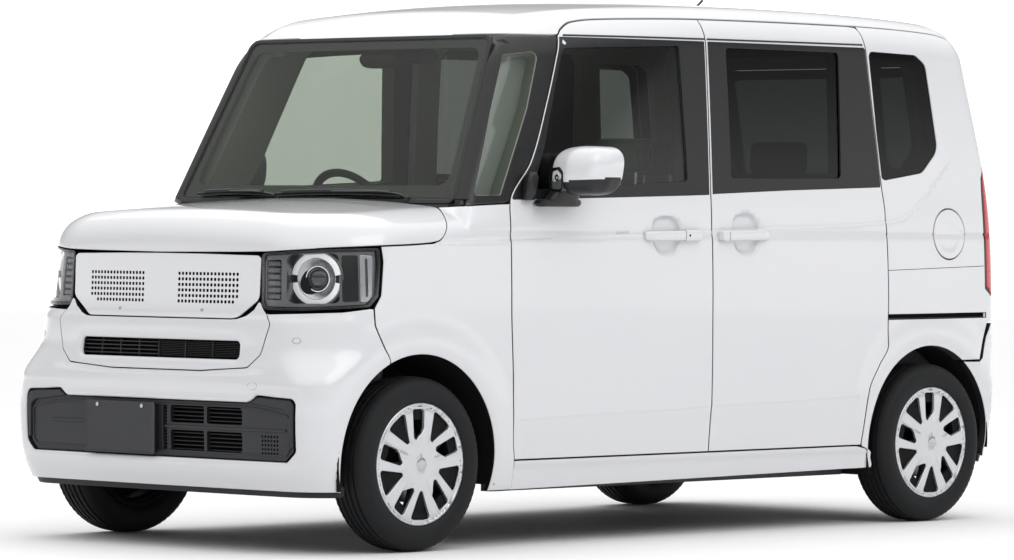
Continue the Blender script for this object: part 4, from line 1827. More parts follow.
ppts = [densify([(-165 + k, -82.5 + k), (165 - k, -82.5 + k), (165 - k, 82.5 - k), (-165 + k, 82.5 - k)], 9) for k in (4.2, 6.4, 8.8)]
pl = panel("front_plate_blank", ["plate_grey"], FlatMap((-153, -1696.0, 376.5), (1, 0, 0), (0, 0, 1), plate_height), rounded([(-165, -82.5, 9), (165, -82.5, 9), (165, 82.5, 9), (-165, 82.5, 9)], 9),
           slot="plate_metal", depth=1.4, grid=22, r=0.7, lines=ppts)[0]
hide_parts("front_number_plate")
bolts = [stud("bolt", "chrome_soft", FlatMap((-153, -1697.0, 376.5), (1, 0, 0), (0, 0, 1)), x, 69.5, 7.0, 2.2) for x in (-105, 105)]
place(join(bolts, "front_plate_screws"), "body")

# ================================================================= headlamps
def deg_u(a):
    return math.radians(a) * 560.0


sidept = side_to_f([(-1421, 772), (-1404, 803), (-1392.5, 905), (-1392, 946)])
lamp_out = [(deg_u(42.0), 759, 16), (deg_u(52), 757), (deg_u(60), 762), (float(sidept[0][0]) - 12, 768, 16), (float(sidept[1][0]), 800, 14),
            (float(sidept[2][0]), 903), (float(sidept[3][0]), 952, 10), (deg_u(60), 949), (deg_u(52), 943), (deg_u(44), 936), (deg_u(42.0), 934, 10)]


def shrink(poly, k):
    """The same corner list moved in by k on both axes, towards its middle."""
    us = [p[0] for p in poly]
    vs = [p[1] for p in poly]
    cu, cv = (min(us) + max(us)) / 2, (min(vs) + max(vs)) / 2
    hu, hv = (max(us) - min(us)) / 2, (max(vs) - min(vs)) / 2
    out = []
    for p in poly:
        q = (cu + (p[0] - cu) * (hu - k) / hu, cv + (p[1] - cv) * (hv - k) / hv)
        out.append(q + ((max(p[2] - k * 0.5, 3),) if len(p) > 2 else ()))
    return out


lamp_l = rounded(lamp_out, 6)
gk = panel("headlamp_gasket", ["trim_gloss", "void_black"], NOSE(2.2), lamp_l, [rounded(shrink(lamp_out, 7.5), 6)], mirror=True, slot="lamp_lens", depth=58, grid=16, r=1.6, hr=1.6, hdepth=22)
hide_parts("headlights")
panel("headlamp_back", "void_black", NOSE(70), rounded(shrink(lamp_out, 4), 14), mirror=True, slot="dark_plastic", depth=3, grid=40, r=1)
win_ring = [(deg_u(48.6), 778, 22), (deg_u(48.6), 932, 22), (deg_u(61.0), 936, 16), (deg_u(61.0), 780, 16)]
win_rib = [(deg_u(43.3), 790, 4), (deg_u(43.3), 912, 4), (deg_u(47.2), 914, 4), (deg_u(47.2), 788, 4)]
panel("headlamp_bezel", ["lamp_grey", "lamp_dark"], NOSE(13), rounded(shrink(lamp_out, 9.5), 8), [rounded(win_ring, 8), rounded(win_rib, 8)], mirror=True, slot="lamp_lens",
      depth=8, grid=14, r=2.0, hr=2.4, hdepth=44)
for mir, nm in ((False, "left"), (True, "right")):
    HA = math.radians(22)
    hn = np.array([math.sin(HA), -math.cos(HA), 0.0])
    e1 = np.array([math.cos(HA), math.sin(HA), 0.0])
    e2 = np.array([0, 0, 1.0])
    hc = np.array([580.5, -1536.0, 855.0])
    arcs = []
    for a0, a1 in ((9.5, 170.5), (189.5, 350.5)):
        arcs.append(sector("arc", "lamp_white", hc, e1, e2, 65.5, 84, a0, a1, 9, 2.0, 40, mirror=mir))
    place(join(arcs, "headlamp_ring_" + nm), "body")
    sector("headlamp_cone_" + nm, "chrome_soft", hc - hn * 16, e1, e2, 40, 65, 0, 360, 20, 1.0, 64, mirror=mir, lean=14)
    sector("headlamp_outer_ring_" + nm, "lamp_dark", hc - hn * 6, e1, e2, 84.5, 92, 0, 360, 12, 2.0, 64, mirror=mir)
    lathe_obj("headlamp_projector_" + nm, "projector", [(0.01, 17), (10, 16.2), (20, 13.6), (28, 9.2), (34, 3.0), (36.5, -6), (36.5, -22), (0.01, -22)], hc - hn * 8,
              axis=tuple(hn), n=48, body="body", closed=False, mirror=mir)
    sector("headlamp_projector_rim_" + nm, "chrome", hc - hn * 14, e1, e2, 36.6, 41.5, 0, 360, 9, 1.4, 56, mirror=mir)
    ribs = []
    for i in range(6):
        z = 799 + i * 20.5
        q = np.array([(deg_u(43.5), z - 7.4), (deg_u(47.0), z - 7.4), (deg_u(47.0), z + 7.4), (deg_u(43.5), z + 7.4)])
        V, F, G, L = panel_mesh(NOSE(17), densify(q, 8), depth=22, grid=20, r=4.0, arc=3)
        ribs.append(add("rib", V, F, ["lamp_rib"], None, L, "body", mirror=mir))
    place(join(ribs, "headlamp_ribs_" + nm), "body")
blk = rounded([(deg_u(61.6), 784, 6), (deg_u(65.6), 786, 6), (deg_u(65.6), 930, 6), (deg_u(61.6), 929, 6)], 8)
panel("headlamp_black_panel", "trim_gloss", NOSE(9), blk, mirror=True, slot="lamp_lens", depth=8, grid=20, r=2.0)
us_ = [float(q[0]) for q in side_to_f([(-1412, 800), (-1402, 903)])]
silv = rounded([(deg_u(66.0), 782, 5), (us_[0] - 16, 786, 14), (us_[0] - 9, 806, 10), (us_[1] - 10, 928, 8), (deg_u(66.0), 931, 5)], 8)
panel("headlamp_side_reflector", "chrome_soft", NOSE(10), silv, mirror=True, slot="lamp_lens", depth=6, grid=16, r=2.0)
panel("headlamp_side_groove", "lamp_dark", NOSE(8.4), rounded([(deg_u(67.4), 800, 3), (deg_u(68.0), 800, 3), (deg_u(68.0), 920, 3), (deg_u(67.4), 920, 3)], 8), mirror=True, slot="lamp_lens",
      depth=3, grid=20, r=0.8)
panel("headlamp_lens", "glass_lens", NOSE(1.2), rounded(shrink(lamp_out, 2.4), 7), mirror=True, slot="lamp_lens", depth=2.6, grid=17, r=1.2)

# ============================================================ body details
def loft(name, mat, sections, body="body", mirror=False, deg=40.0, mats_fn=None, cap=True):
    """A closed skin through rings of points, all of one length."""
    S = np.array(sections, float)
    m, n = S.shape[:2]
    V = [tuple(p) for p in S.reshape(-1, 3)]
    F = []
    for i in range(m - 1):
        for k in range(n):
            k2 = (k + 1) % n
            F.append((i * n + k, i * n + k2, (i + 1) * n + k2, (i + 1) * n + k))
    if cap:
        for i, rev in ((0, True), (m - 1, False)):
            V.append(tuple(S[i].mean(0)))
            c = len(V) - 1
            for k in range(n):
                a, b = i * n + k, i * n + (k + 1) % n
                F.append((b, a, c) if rev else (a, b, c))
    fm = None
    if mats_fn is not None:
        VA = np.array(V)
        fm = [mats_fn(VA[list(f)].mean(0)) for f in F]
    ob = add(name, V, F, mat, fm, body=body, mirror=mirror)
    autosmooth(ob, deg)
    return ob


def oval(c, a, b, ea, eb, n=28, p=2.6):
    """A ring of a superellipse with half axes ea along a and eb along b."""
    c, a, b = np.array(c, float), np.array(a, float), np.array(b, float)
    out = []
    for k in range(n):
        t = 2 * math.pi * k / n
        ct, st = math.cos(t), math.sin(t)
        out.append(c + a * ea * math.copysign(abs(ct) ** (2 / p), ct) + b * eb * math.copysign(abs(st) ** (2 / p), st))
    return out


def resample(pts, n):
    q = np.asarray(pts, float)
    d = np.hypot(*(np.roll(q, -1, 0) - q).T)
    s = np.concatenate([[0], np.cumsum(d)])
    qq = np.vstack([q, q[:1]])
    t = np.linspace(0, s[-1], n, endpoint=False)
    return np.stack([np.interp(t, s, qq[:, 0]), np.interp(t, s, qq[:, 1])], 1)


# ------------------------------------------------------------- door handles
def grip(name, y0, y1, zc, b0, b1, body, out0=8.0, out1=24.0, ends=(True, True), th=8.5, mirror=False, mat="paint", sy=None, p=3.2):
    """A bar that leaves the side, runs level and comes back to it."""
    ys = np.concatenate([[0, 0.012, 0.04, 0.09], np.linspace(0.16, 0.84, 9), [0.91, 0.96, 0.988, 1.0]])
    rings = []
    for k in ys:
        y = y0 + (y1 - y0) * k
        zz = zc(y) if callable(zc) else zc
        x = float(SIDE(np.array([y]), np.array([zz]))[0][0])
        e = 1.0
        o = out1
        if ends[0]:
            o = out0 + (o - out0) * smooth(0, 0.16, k)
            e *= float(np.interp(k, [0, 0.012, 0.04, 0.09], [0.35, 0.68, 0.9, 1.0]))
        if ends[1]:
            o = min(o, out0 + (out1 - out0) * smooth(1.0, 0.84, k))
            e *= float(np.interp(1 - k, [0, 0.012, 0.04, 0.09], [0.35, 0.68, 0.9, 1.0]))
        hh = b0 + (b1 - b0) * k
        rings.append(oval((x + o - th * 0.5, y, zz), (1, 0, 0), (0, 0, 1), th * (0.6 + 0.4 * e), hh * e, 26, p))
    return loft(name, mat, rings, body=body, mirror=mirror)


for mir, sd_ in ((False, "left"), (True, "right")):
    fdb = "front_door_" + sd_
    zf_ = lambda y: 991.0 + 0.012 * (y + 196)
    grip("front_handle_grip_" + sd_, -196, -14, zf_, 15.5, 16.5, fdb, ends=(True, False), out1=20, mirror=mir)
    grip("front_handle_lock_" + sd_, -12, 79, zf_, 19.0, 17.0, fdb, ends=(False, True), out1=21, th=9.5, mirror=mir)
    loft("front_handle_joint_" + sd_, "rubber_seal", [oval((float(SIDE(np.array([y]), np.array([992.0]))[0][0]) + 15.5, y, 993.2), (1, 0, 0), (0, 0, 1), 7.2, 14.6, 26, 3.2) for y in (-15, -13, -11.5)],
         body=fdb, mirror=mir)
    KM = SideMap(-25.6, True)
    stud("front_handle_button_" + sd_, "trim_gloss", KM, 4.0, 994.5, 4.6, 1.0, ry=5.4, body=fdb, mirror=mir)
    zs_ = lambda y: 991.5 + 0.02 * (y - 169)
    grip("sliding_handle_grip_" + sd_, 208, 422, zs_, 16.5, 18.0, "body", ends=(False, True), out1=20, mirror=mir)
    grip("sliding_handle_base_" + sd_, 169, 205.5, lambda y: 992.2, 15.0, 19.0, "body", ends=(True, False), out1=19, th=9.0, mirror=mir)
    loft("sliding_handle_joint_" + sd_, "rubber_seal", [oval((float(SIDE(np.array([y]), np.array([992.0]))[0][0]) + 14.5, y, 992.4), (1, 0, 0), (0, 0, 1), 7.0, 14.6, 26, 3.2) for y in (204.5, 206, 208.5)],
         body="body", mirror=mir)

# ------------------------------------------------------------------ mirrors
HEAD = resample(rounded([(734, -652, 22), (812, -656, 46), (886, -618, 46), (906, -545, 32), (900, -474, 12), (738, -500, 12)], 4), 72)
HC = np.array([822.0, -530.0])
ZM, HM = 1201.0, 79.5


def head_ring(z, grow=0.0):
    s_ = (1 - min(abs(z - ZM) / HM, 0.9995) ** 3.0) ** (1 / 3.0)
    q = HC + (HEAD - HC) * np.array([0.30 + 0.70 * s_, 0.25 + 0.75 * s_]) * (1 + grow)
    k = (z - ZM) / HM
    fall = np.where(q[:, 0] < 822, 0.0010, 0.0016) * (q[:, 0] - 822) ** 2
    return np.stack([q[:, 0] + 4.0 * k, q[:, 1] + 10.0 * k, z - k * fall], 1)


zh = ZM + HM * np.sin(np.radians(np.linspace(-89.0, 89.0, 36)))
for mir, sd_ in ((False, "left"), (True, "right")):
    fdb = "front_door_" + sd_
    ob = loft("mirror_head_" + sd_, ["paint", "trim_black"], [head_ring(z) for z in zh], body=fdb, mirror=mir, deg=50,
              mats_fn=lambda c: 0 if c[2] > 1159 + 0.128 * (abs(c[0]) - 760) and c[1] < -505 + 0.16 * (abs(c[0]) - 738) else 1)
    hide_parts("door_mirror_" + sd_)
    e1_, e2_ = np.array([-0.987, -0.158, 0.0]), np.array([0.0, 0.08, 1.0])
    RMF = FlatMap((820, -484.0, 1203), e1_, e2_)
    gq = rounded([(-62, -52, 24), (-62, 52, 28), (64, 48, 28), (64, -48, 24)], 7)
    V, F, G, L = panel_mesh(FlatMap((820, -481.0, 1203), e1_, e2_), gq, depth=3, grid=24, r=1.0)
    add("mirror_pane_" + sd_, V, F, "mirror_glass", None, L, fdb, mirror=mir)
    V, F, G, L = panel_mesh(RMF, rounded([(-70, -60, 28), (-70, 60, 34), (72, 56, 34), (72, -56, 28)], 7), [gq], depth=12, grid=24, r=3.5, hr=2.0)
    add("mirror_bezel_" + sd_, V, F, "trim_black", None, L, fdb, mirror=mir)
    # clear lamp at the inner front of the housing in a black frame
    fo_ = rounded([(-34, -36, 16), (-34, 38, 10), (14, 42, 14), (32, 24, 12), (34, -38, 12)], 6)
    fi_ = rounded([(-20, -30, 12), (-18, 26, 8), (8, 33, 8), (24, 18, 8), (27, -31, 9)], 6)
    V, F, G, L = panel_mesh(FlatMap((767, -657, 1171), (0.98, -0.10, 0.0), (0, 0.05, 1)), fo_, [fi_], depth=22, grid=14, r=3.5, hr=1.5)
    add("mirror_lamp_frame_" + sd_, V, F, "trim_gloss", None, L, fdb, mirror=mir)
    V, F, G, L = panel_mesh(FlatMap((767, -655.0, 1171), (0.98, -0.10, 0.0), (0, 0.05, 1)), fi_, depth=5, grid=12, r=1.5)
    add("mirror_lamp_lens_" + sd_, V, F, "lamp_grey", None, L, fdb, mirror=mir)
    sector("mirror_lamp_core_" + sd_, "chrome", (774, -657.5, 1178), (0.98, -0.10, 0.0), (0, 0.05, 1), 3, 11, 0, 360, 3.0, 0.8, 30, body=fdb, mirror=mir, lean=1.0)
    # foot, and the plate it stands on
    rings = []
    for f in np.linspace(0, 1, 9):
        rings.append(oval((746 + 16 * f, -618 + 22 * f, 1098 + 50 * f), (1, 0.0, 0), (0.0, 1, 0), 33 - 3 * f + 8 * f * f, 70 - 22 * f, 30, 3.2))
    loft("mirror_foot_" + sd_, "trim_black", rings, body=fdb, mirror=mir)
    rings = [oval((cx_, -622, zz), (1, 0, 0), (0, 1, 0), a_, b_, 30, 3.6) for cx_, zz, a_, b_ in
             ((742, 1084, 16, 78), (742, 1086, 28, 88), (742, 1094, 34, 94), (743, 1104, 33, 92), (744, 1108, 27, 84))]
    loft("mirror_foot_base_" + sd_, "trim_black", rings, body=fdb, mirror=mir)
    rings = [oval((725 + 0.05 * (zz - 1105), -740 + 0.16 * (zz - 1105), zz), (1, 0, 0), (0, 1, 0), a_, b_, 26, 3.4) for zz, a_, b_ in
             ((1104, 8, 14), (1106, 14, 21), (1112, 17, 24), (1150, 17, 24), (1180, 15, 22), (1192, 11, 17), (1196, 5, 10))]
    loft("auxiliary_mirror_" + sd_, "trim_black", rings, body=fdb, mirror=mir)

# sail panel at the door's front top corner
sail = [(-790, 1104, 4), (-700, 1108, 4), (-688, 1150, 8), (-640, 1280, 4), (-648, 1284, 3), (-706, 1250, 10)]
zs2 = np.linspace(1110, 1276, 16)
sp_ = np.vstack([np.stack([DFRONT(zs2) + 4.0, zs2], 1), densify([(-640, 1284), (-703, 1137), (-700, 1110), (-788, 1107)], 8, False)])
panel("mirror_sail", "trim_black", SideMap(-2.4, False), loop_from(SIDE, (None, sp_)), body="front_door_left", mirror=True, slot="dark_plastic", depth=5, grid=20, r=1.8)

# --------------------------------------------------- front pillar's own cover
class PillarMap:
    """(0..1 across times 100, z) from the screen's edge round to the side."""
    def __init__(self, off=0.0):
        self.off = off

    def ends(self, v):
        x0 = np.interp(v, [1101, 1633], [640, 556])
        y0 = -998 + (v - 1100) * 0.487 + 14 * (x0 / 660.0) ** 2 - 14
        y1 = np.interp(v, [1096, 1632], [-976, -720])
        x1 = np.full_like(v, 0.0)
        p1 = SIDE_IN(y1.copy(), v.copy())
        return np.stack([x0, y0, v], 1), p1

    def __call__(self, u, v):
        p0, p1 = self.ends(v)
        m = p0 + (p1 - p0) * (u / 100.0)[:, None]
        c = np.stack([p0[:, 0] - 120, p1[:, 1] + 140, v - 20], 1)
        d = m - c
        d /= np.linalg.norm(d, axis=1)[:, None]
        t = along(c, d, 20, 500) - self.off
        return c + d * t[:, None]


zp = np.linspace(1106, 1634, 76)
pil_q = np.vstack([np.stack([np.full(76, -1.0), zp], 1), densify([(8, 1634), (92, 1634)], 8, False), np.stack([np.full(76, 99.0), zp[::-1]], 1),
                   densify([(92, 1106), (8, 1106)], 8, False)])
panel("front_pillar_cover", ["trim_black", "cabin_plastic"], PillarMap(0.6), pil_q, mirror=True, slot="dark_plastic", depth=5, grid=14, r=1.6)

# ---------------------------------------------------------- cowl and wipers
class CowlMap:
    """(x, y) seen from above, between the bonnet and the screen."""
    def __init__(self, off=4.0):
        self.off = off

    def __call__(self, u, v):
        o = np.stack([u, v, np.full_like(u, 900.0)], 1)
        t = along(o, np.tile([0, 0, 1.0], (len(u), 1)), 0, 320) - self.off
        t = t - 27.0 * smooth(-1008, -1021, v)
        return o + np.array([0, 0, 1.0]) * t[:, None]

    def back(self, p):
        return p[:, :2].copy()


cx = np.linspace(-628, 628, 150)
cowl_q = np.vstack([np.stack([cx, np.full_like(cx, -1030.5)], 1), np.stack([cx[::-1], -1003 + 14 * (cx[::-1] / 660.0) ** 2], 1)])
cc = panel("cowl_cover", ["trim_black", "plastic_dark"], CowlMap(5.0), cowl_q, slot="dark_plastic", depth=6, grid=9, r=1.4)[0]
for sgn, a0_, b0_, nm in ((1, 398.0, -162.0, "left"), (1, -196.0, -540.0, "right")):
    zb_ = 1122.0
    xs_ = np.linspace(a0_, b0_, 26)
    pts = ScreenMap(-11.0)(xs_.copy(), zb_ + 5 * np.sin(np.linspace(0, math.pi, 26)))
    tube("wiper_blade_" + nm, "rubber_seal", pts, 6.5, 10, body="body", flat=0.7)
    pts = ScreenMap(-19.0)(np.linspace(a0_ - 20, b0_ + 40, 22), zb_ + 6 + 4 * np.sin(np.linspace(0, math.pi, 22)))
    tube("wiper_spoiler_" + nm, "trim_black", pts, 4.2, 10, body="body", flat=1.6)
    px_ = a0_ + 44
    arm = [(px_, -1008, 1104), (px_ - 6, -1009, 1113), (px_ - 22, -1011, 1120), (px_ - 60, -1012, 1126)]
    mid_ = (a0_ + b0_) / 2
    arm += [tuple(ScreenMap(-27.0)(np.array([x]), np.array([zb_ + 8.0]))[0]) for x in np.linspace(px_ - 110, mid_, 8)]
    tube("wiper_arm_" + nm, "trim_black", arm, 6.0, 10, body="body", flat=0.6, radii=[6.6, 7, 7, 6.6] + [6.2] * 8)
    lathe_obj("wiper_pivot_" + nm, "trim_black", [(0.01, 8), (6, 7), (8.5, 2), (9, -14), (0.01, -14)], (px_, -1007, 1108), axis=(0, -0.2, 1), n=26, closed=False)
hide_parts("wipers")
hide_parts("cowl_panel")
# aerial: rubber foot and short mast
z60 = float(RC(860))
lathe_obj("antenna_foot", "plastic_dark", [(0.01, 11), (7, 10.4), (12, 7.5), (16.5, 2.0), (17.5, -1.5), (0.01, -1.5)], (0, 860, z60), axis=(0, 0, 1), n=32, closed=False)
an = tube("antenna_mast", "rubber_seal", [(0, 862, z60 + 6), (0, 870, z60 + 12), (0, 884, z60 + 22), (0, 900, z60 + 34)], 3.8, 12, radii=[5.2, 4.4, 4.0, 4.4])
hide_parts("antenna")

# ------------------------------------------------- under the front bumper
panel("front_undertray", "plastic_dark", NOSE(13), rounded([(-deg_u(62), 178, 8), (-deg_u(62), 212), (deg_u(62), 212), (deg_u(62), 178, 8)], 14), slot="dark_plastic", depth=8, grid=26, r=3.0)

# ---------------------------------------------- rail slot, seam, tail lamps
panel("rail_slot_liner", "void_black", SideMap(15, False), rounded([(1040, 698), (1040, 731), (1614, 731), (1614, 698)], 12), mirror=True, slot="dark_plastic", depth=3, grid=40, r=1.0)
panel("rail_slot_rail", "trim_black", SideMap(8, False), rounded([(1052, 705.5), (1052, 710), (1600, 710), (1600, 705.5)], 12), mirror=True, slot="dark_plastic", depth=6, grid=40, r=1.0)
panel("rail_slot_end", "chrome_soft", SideMap(4, False), rounded([(1596, 707, 2), (1596, 724, 2), (1606, 724, 2), (1606, 707, 2)], 4), mirror=True, slot="dark_plastic", depth=7, grid=12, r=1.2)
sq = np.stack([np.linspace(1058, 1592, 60), np.linspace(874.5, 888, 60)], 1)
strip("quarter_seam", "rubber_seal", RadialMap(180, 1250, 540.0, -0.25), to_q(sq), 2.2, depth=0.6, r=0.2, mirror=True, slot="dark_plastic")
tl_u1 = float(QM.back(REARM(np.array([594.5]), np.array([1000.0])))[0][0])
tl = [(lamp_u + 2.5, 812, 6), (lamp_u + 2.5, 1192, 10), (lamp_u + 35, 1287, 5), (tl_u1 - 4, 1287, 8), (tl_u1 - 2, 1000), (tl_u1 - 4, 781, 8), (lamp_u + 29, 781, 5)]
TLM = RadialMap(180, 1250, 540.0, 1.2)
tlg = panel("tail_lamp_gasket", "trim_gloss", RadialMap(180, 1250, 540.0, 1.6), rounded(tl, 7), [rounded(shrink(tl, 5.0), 7)], mirror=True, slot="red_lens", depth=22, grid=14, r=1.4, hr=1.0, hdepth=12)
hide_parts("tail_lamps")
tin = shrink(tl, 6.0)


class RedMap(RadialMap):
    """The red lens, bowed out along its length with two long flutes."""
    def __call__(self, u, v):
        p = RadialMap.__call__(self, u, v)
        d = np.stack([np.sin(u / self.r0), -np.cos(u / self.r0), np.zeros_like(u)], 1)
        k = (u - lamp_u) / (tl_u1 - lamp_u)
        t = 2.2 * np.exp(-((k - 0.42) / 0.03) ** 2) + 1.4 * np.exp(-((k - 0.75) / 0.03) ** 2)
        return p - d * t[:, None]


kf = [np.stack([np.full(46, lamp_u + (tl_u1 - lamp_u) * k), np.linspace(800, 1270, 46)], 1) for k in (0.37, 0.42, 0.47, 0.70, 0.75, 0.80)]
panel("tail_lamp_lens", "red_inner", RedMap(180, 1250, 540.0, 0.6), rounded(tin, 7), mirror=True, slot="red_lens", depth=8, grid=11, r=2.6, lines=kf)
rv = shrink([(lamp_u + (tl_u1 - lamp_u) * 0.5, 800, 5), (lamp_u + (tl_u1 - lamp_u) * 0.5, 868, 5), (tl_u1 - 12, 868, 5), (tl_u1 - 12, 800, 5)], 1)
panel("tail_lamp_reverse", "lamp_white", RadialMap(180, 1250, 540.0, -0.4), rounded(rv, 5), mirror=True, slot="lamp_lens", depth=5, grid=14, r=1.6)
am = shrink([(lamp_u + (tl_u1 - lamp_u) * 0.5, 874, 5), (lamp_u + (tl_u1 - lamp_u) * 0.5, 950, 5), (tl_u1 - 12, 950, 5), (tl_u1 - 12, 874, 5)], 1)
panel("tail_lamp_turn", "amber_lens", RadialMap(180, 1250, 540.0, -0.4), rounded(am, 5), mirror=True, slot="lamp_lens", depth=5, grid=14, r=1.6)

# ------------------------------------------------------------ tailgate parts
tgh = soft_box("tailgate_handle_bar", "paint", (-250, 1676, 1004), (250, 1704, 1042), 11, body="tailgate", seg=4)
soft_box("tailgate_grip_recess", "trim_black", (-70, 1678, 994), (70, 1696, 1006), 4, body="tailgate")
pts = RearMap(-12.0)(np.linspace(-4, 292, 22), 1128 + 10 * np.sin(np.linspace(0, 2.2, 22)))
tube("rear_wiper_blade", "rubber_seal", pts, 6.0, 10, body="tailgate", flat=0.8)
pts = RearMap(-20.0)(np.linspace(-60, 190, 14), 1096 + 40 * smooth(0, 1, np.linspace(0, 1, 14)))
tube("rear_wiper_arm", "trim_black", pts, 6.0, 10, body="tailgate", flat=0.7, radii=[11, 10, 9] + [6.0] * 11)
c_ = RearMap(0.0)(np.array([-60.0]), np.array([1096.0]))[0]
lathe_obj("rear_wiper_pivot", "trim_black", [(0.01, 22), (10, 21), (16, 16), (18, -4), (0.01, -4)], tuple(c_), axis=(0, 1, 0.1), n=28, body="tailgate", closed=False)
panel("stop_lamp_high", "red_deep", RearMap(-2.0), rounded([(-110, 1606, 8), (-110, 1628, 8), (110, 1628, 8), (110, 1606, 8)], 7), body="tailgate", slot="red_lens", depth=8, grid=16, r=3.0)
panel("stop_lamp_frame", "trim_gloss", RearMap(-0.6), rounded([(-118, 1600, 10), (-118, 1634, 10), (118, 1634, 10), (118, 1600, 10)], 7),
      [rounded([(-108, 1608, 6), (-108, 1626, 6), (108, 1626, 6), (108, 1608, 6)], 7)], body="tailgate", slot="dark_plastic", depth=6, grid=16, r=2.0)
RPM = FlatMap((0, 1691.4, 882.5), (-1, 0, 0), (0, 0, 1), plate_height)
rp_ = panel("rear_plate_blank", "plate_white", RPM, rounded([(-165, -82.5, 9), (165, -82.5, 9), (165, 82.5, 9), (-165, 82.5, 9)], 9), body="tailgate", slot="plate_metal", depth=1.4, grid=22,
            r=0.7, lines=ppts)[0]
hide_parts("rear_number_plate")
bolts = [stud("bolt", "chrome_soft", FlatMap((0, 1692.0, 882.5), (-1, 0, 0), (0, 0, 1)), x, 69.5, 7.0, 2.2, body="tailgate") for x in (-105, 105)]
place(join(bolts, "rear_plate_screws"), "tailgate")
for x in (-120, 120):
    nm = "left" if x > 0 else "right"
    soft_box("plate_lamp_" + nm, "lamp_white", (x - 28, 1682, 982), (x + 28, 1692, 991), 3, body="tailgate")
for x in (-1, 1):
    nm = "left" if x > 0 else "right"
    ur = math.pi * 560 - x * 420
    q = rounded([(ur - 34, 356, 12), (ur - 34, 396, 12), (ur + 34, 396, 12), (ur + 34, 356, 12)], 7)
    panel("rear_reflector_" + nm, "red_deep", RadialMap(0, 1150, 560.0, -1.6), q, slot="red_lens", depth=6, grid=14, r=3.0)
panel("rear_bumper_low", "plastic_dark", RadialMap(0, 1150, 560.0, 9), rounded([(math.pi * 560 - 560, 196, 20), (math.pi * 560 - 560, 226), (math.pi * 560 + 560, 226), (math.pi * 560 + 560, 196, 20)], 16),
      slot="dark_plastic", depth=8, grid=28, r=3.0)

# ================================================================ the cabin
def closed_rings(S):
    """Vertices and faces of a skin through rings, its ends closed."""
    S = np.array(S, float)
    m, n = S.shape[:2]
    V = [tuple(q) for q in S.reshape(-1, 3)]
    F = []
    for i in range(m - 1):
        for k in range(n):
            k2 = (k + 1) % n
            F.append((i * n + k, i * n + k2, (i + 1) * n + k2, (i + 1) * n + k))
    for i, rev in ((0, True), (m - 1, False)):
        V.append(tuple(S[i].mean(0)))
        c = len(V) - 1
        for k in range(n):
            a, b = i * n + k, i * n + (k + 1) % n
            F.append((b, a, c) if rev else (a, b, c))
    return V, F


def stuff(S, voxel, cap, push=4.0):
    """Fills a closed cover with foam: remeshed, swollen by a cloth pressure, no point moving farther than cap (mm)."""
    V, F = closed_rings(S)
    me = bpy.data.meshes.new("cover_start")
    me.from_pydata((np.array(V) * 0.001).tolist(), [], F)
    ob = bpy.data.objects.new("cover_start", me)
    sc = bpy.context.scene
    sc.collection.objects.link(ob)
    rm = ob.modifiers.new("even", "REMESH")
    rm.mode = "VOXEL"
    rm.voxel_size = voxel * 0.001
    dg = bpy.context.evaluated_depsgraph_get()
    even = bpy.data.meshes.new_from_object(ob.evaluated_get(dg))
    ob.modifiers.clear()
    ob.data = even
    a = np.array([v.co[:] for v in even.vertices])
    b = a
    c = ob.modifiers.new("foam", "CLOTH")
    st = c.settings
    st.quality = 4
    st.mass = 0.3
    st.tension_stiffness = st.compression_stiffness = 15
    st.shear_stiffness = 5
    st.bending_stiffness = 0.5
    st.use_pressure = True
    st.uniform_pressure_force = push
    st.effector_weights.gravity = 0.0
    c.point_cache.frame_start, c.point_cache.frame_end = 1, 20
    for f in range(1, 21):
        sc.frame_set(f)
    dg = bpy.context.evaluated_depsgraph_get()
    out = ob.evaluated_get(dg).data
    b = np.array([v.co[:] for v in out.vertices])
    sc.frame_set(1)
    d = b - a
    far = np.linalg.norm(d, axis=1)
    v = a + d * np.minimum(1.0, cap * 0.001 / np.maximum(far, 1e-9))[:, None]
    faces = [tuple(q.vertices) for q in even.polygons]
    bpy.data.objects.remove(ob)
    return v * 1000.0, faces


def normals_of(v, faces):
    n = np.zeros_like(v)
    for f in faces:
        q = v[list(f)]
        k = np.cross(q[1] - q[0], q[2] - q[0]) + (np.cross(q[2] - q[0], q[3] - q[0]) if len(f) == 4 else 0)
        n[list(f)] += k
    return n / np.maximum(np.linalg.norm(n, axis=1), 1e-9)[:, None]


def sewn(v, faces, lines, front, depth=5.0, width=8.0):
    """Pulls a cover in along its sewn lines, on the side that front picks."""
    n = normals_of(v, faces)
    pull = np.zeros(len(v))
    on = front(v, n)
    for line in lines:
        q = np.asarray(line, float)
        best = np.full(len(v), 1e9)
        for a, b in zip(q[:-1], q[1:]):
            ab = b - a
            t = np.clip(((v - a) @ ab) / max(float(ab @ ab), 1e-9), 0, 1)
            dv = v - (a + t[:, None] * ab)
            best = np.minimum(best, np.linalg.norm(dv * np.array([1, 1, 1]), axis=1))
        pull = np.maximum(pull, np.exp(-(best / width) ** 2))
    return v - n * (pull * on * depth)[:, None]


def on_cover(v, faces, pts, toward, lift=0.4):
    """Points laid on a cover, shot at it along toward."""
    tree = BVHTree.FromPolygons([tuple(q) for q in v], [list(f) for f in faces])
    out = []
    tw = Vector(toward).normalized()
    for q in pts:
        hit = tree.ray_cast(Vector(q) - tw * 250.0, tw)
        if hit[0] is not None:
            out.append(tuple(hit[0] - tw * lift))
    return out


from mathutils.bvhtree import BVHTree
XS = np.concatenate([[-1.0, -0.985, -0.95, -0.9], np.linspace(-0.82, 0.82, 15), [0.9, 0.95, 0.985, 1.0]])


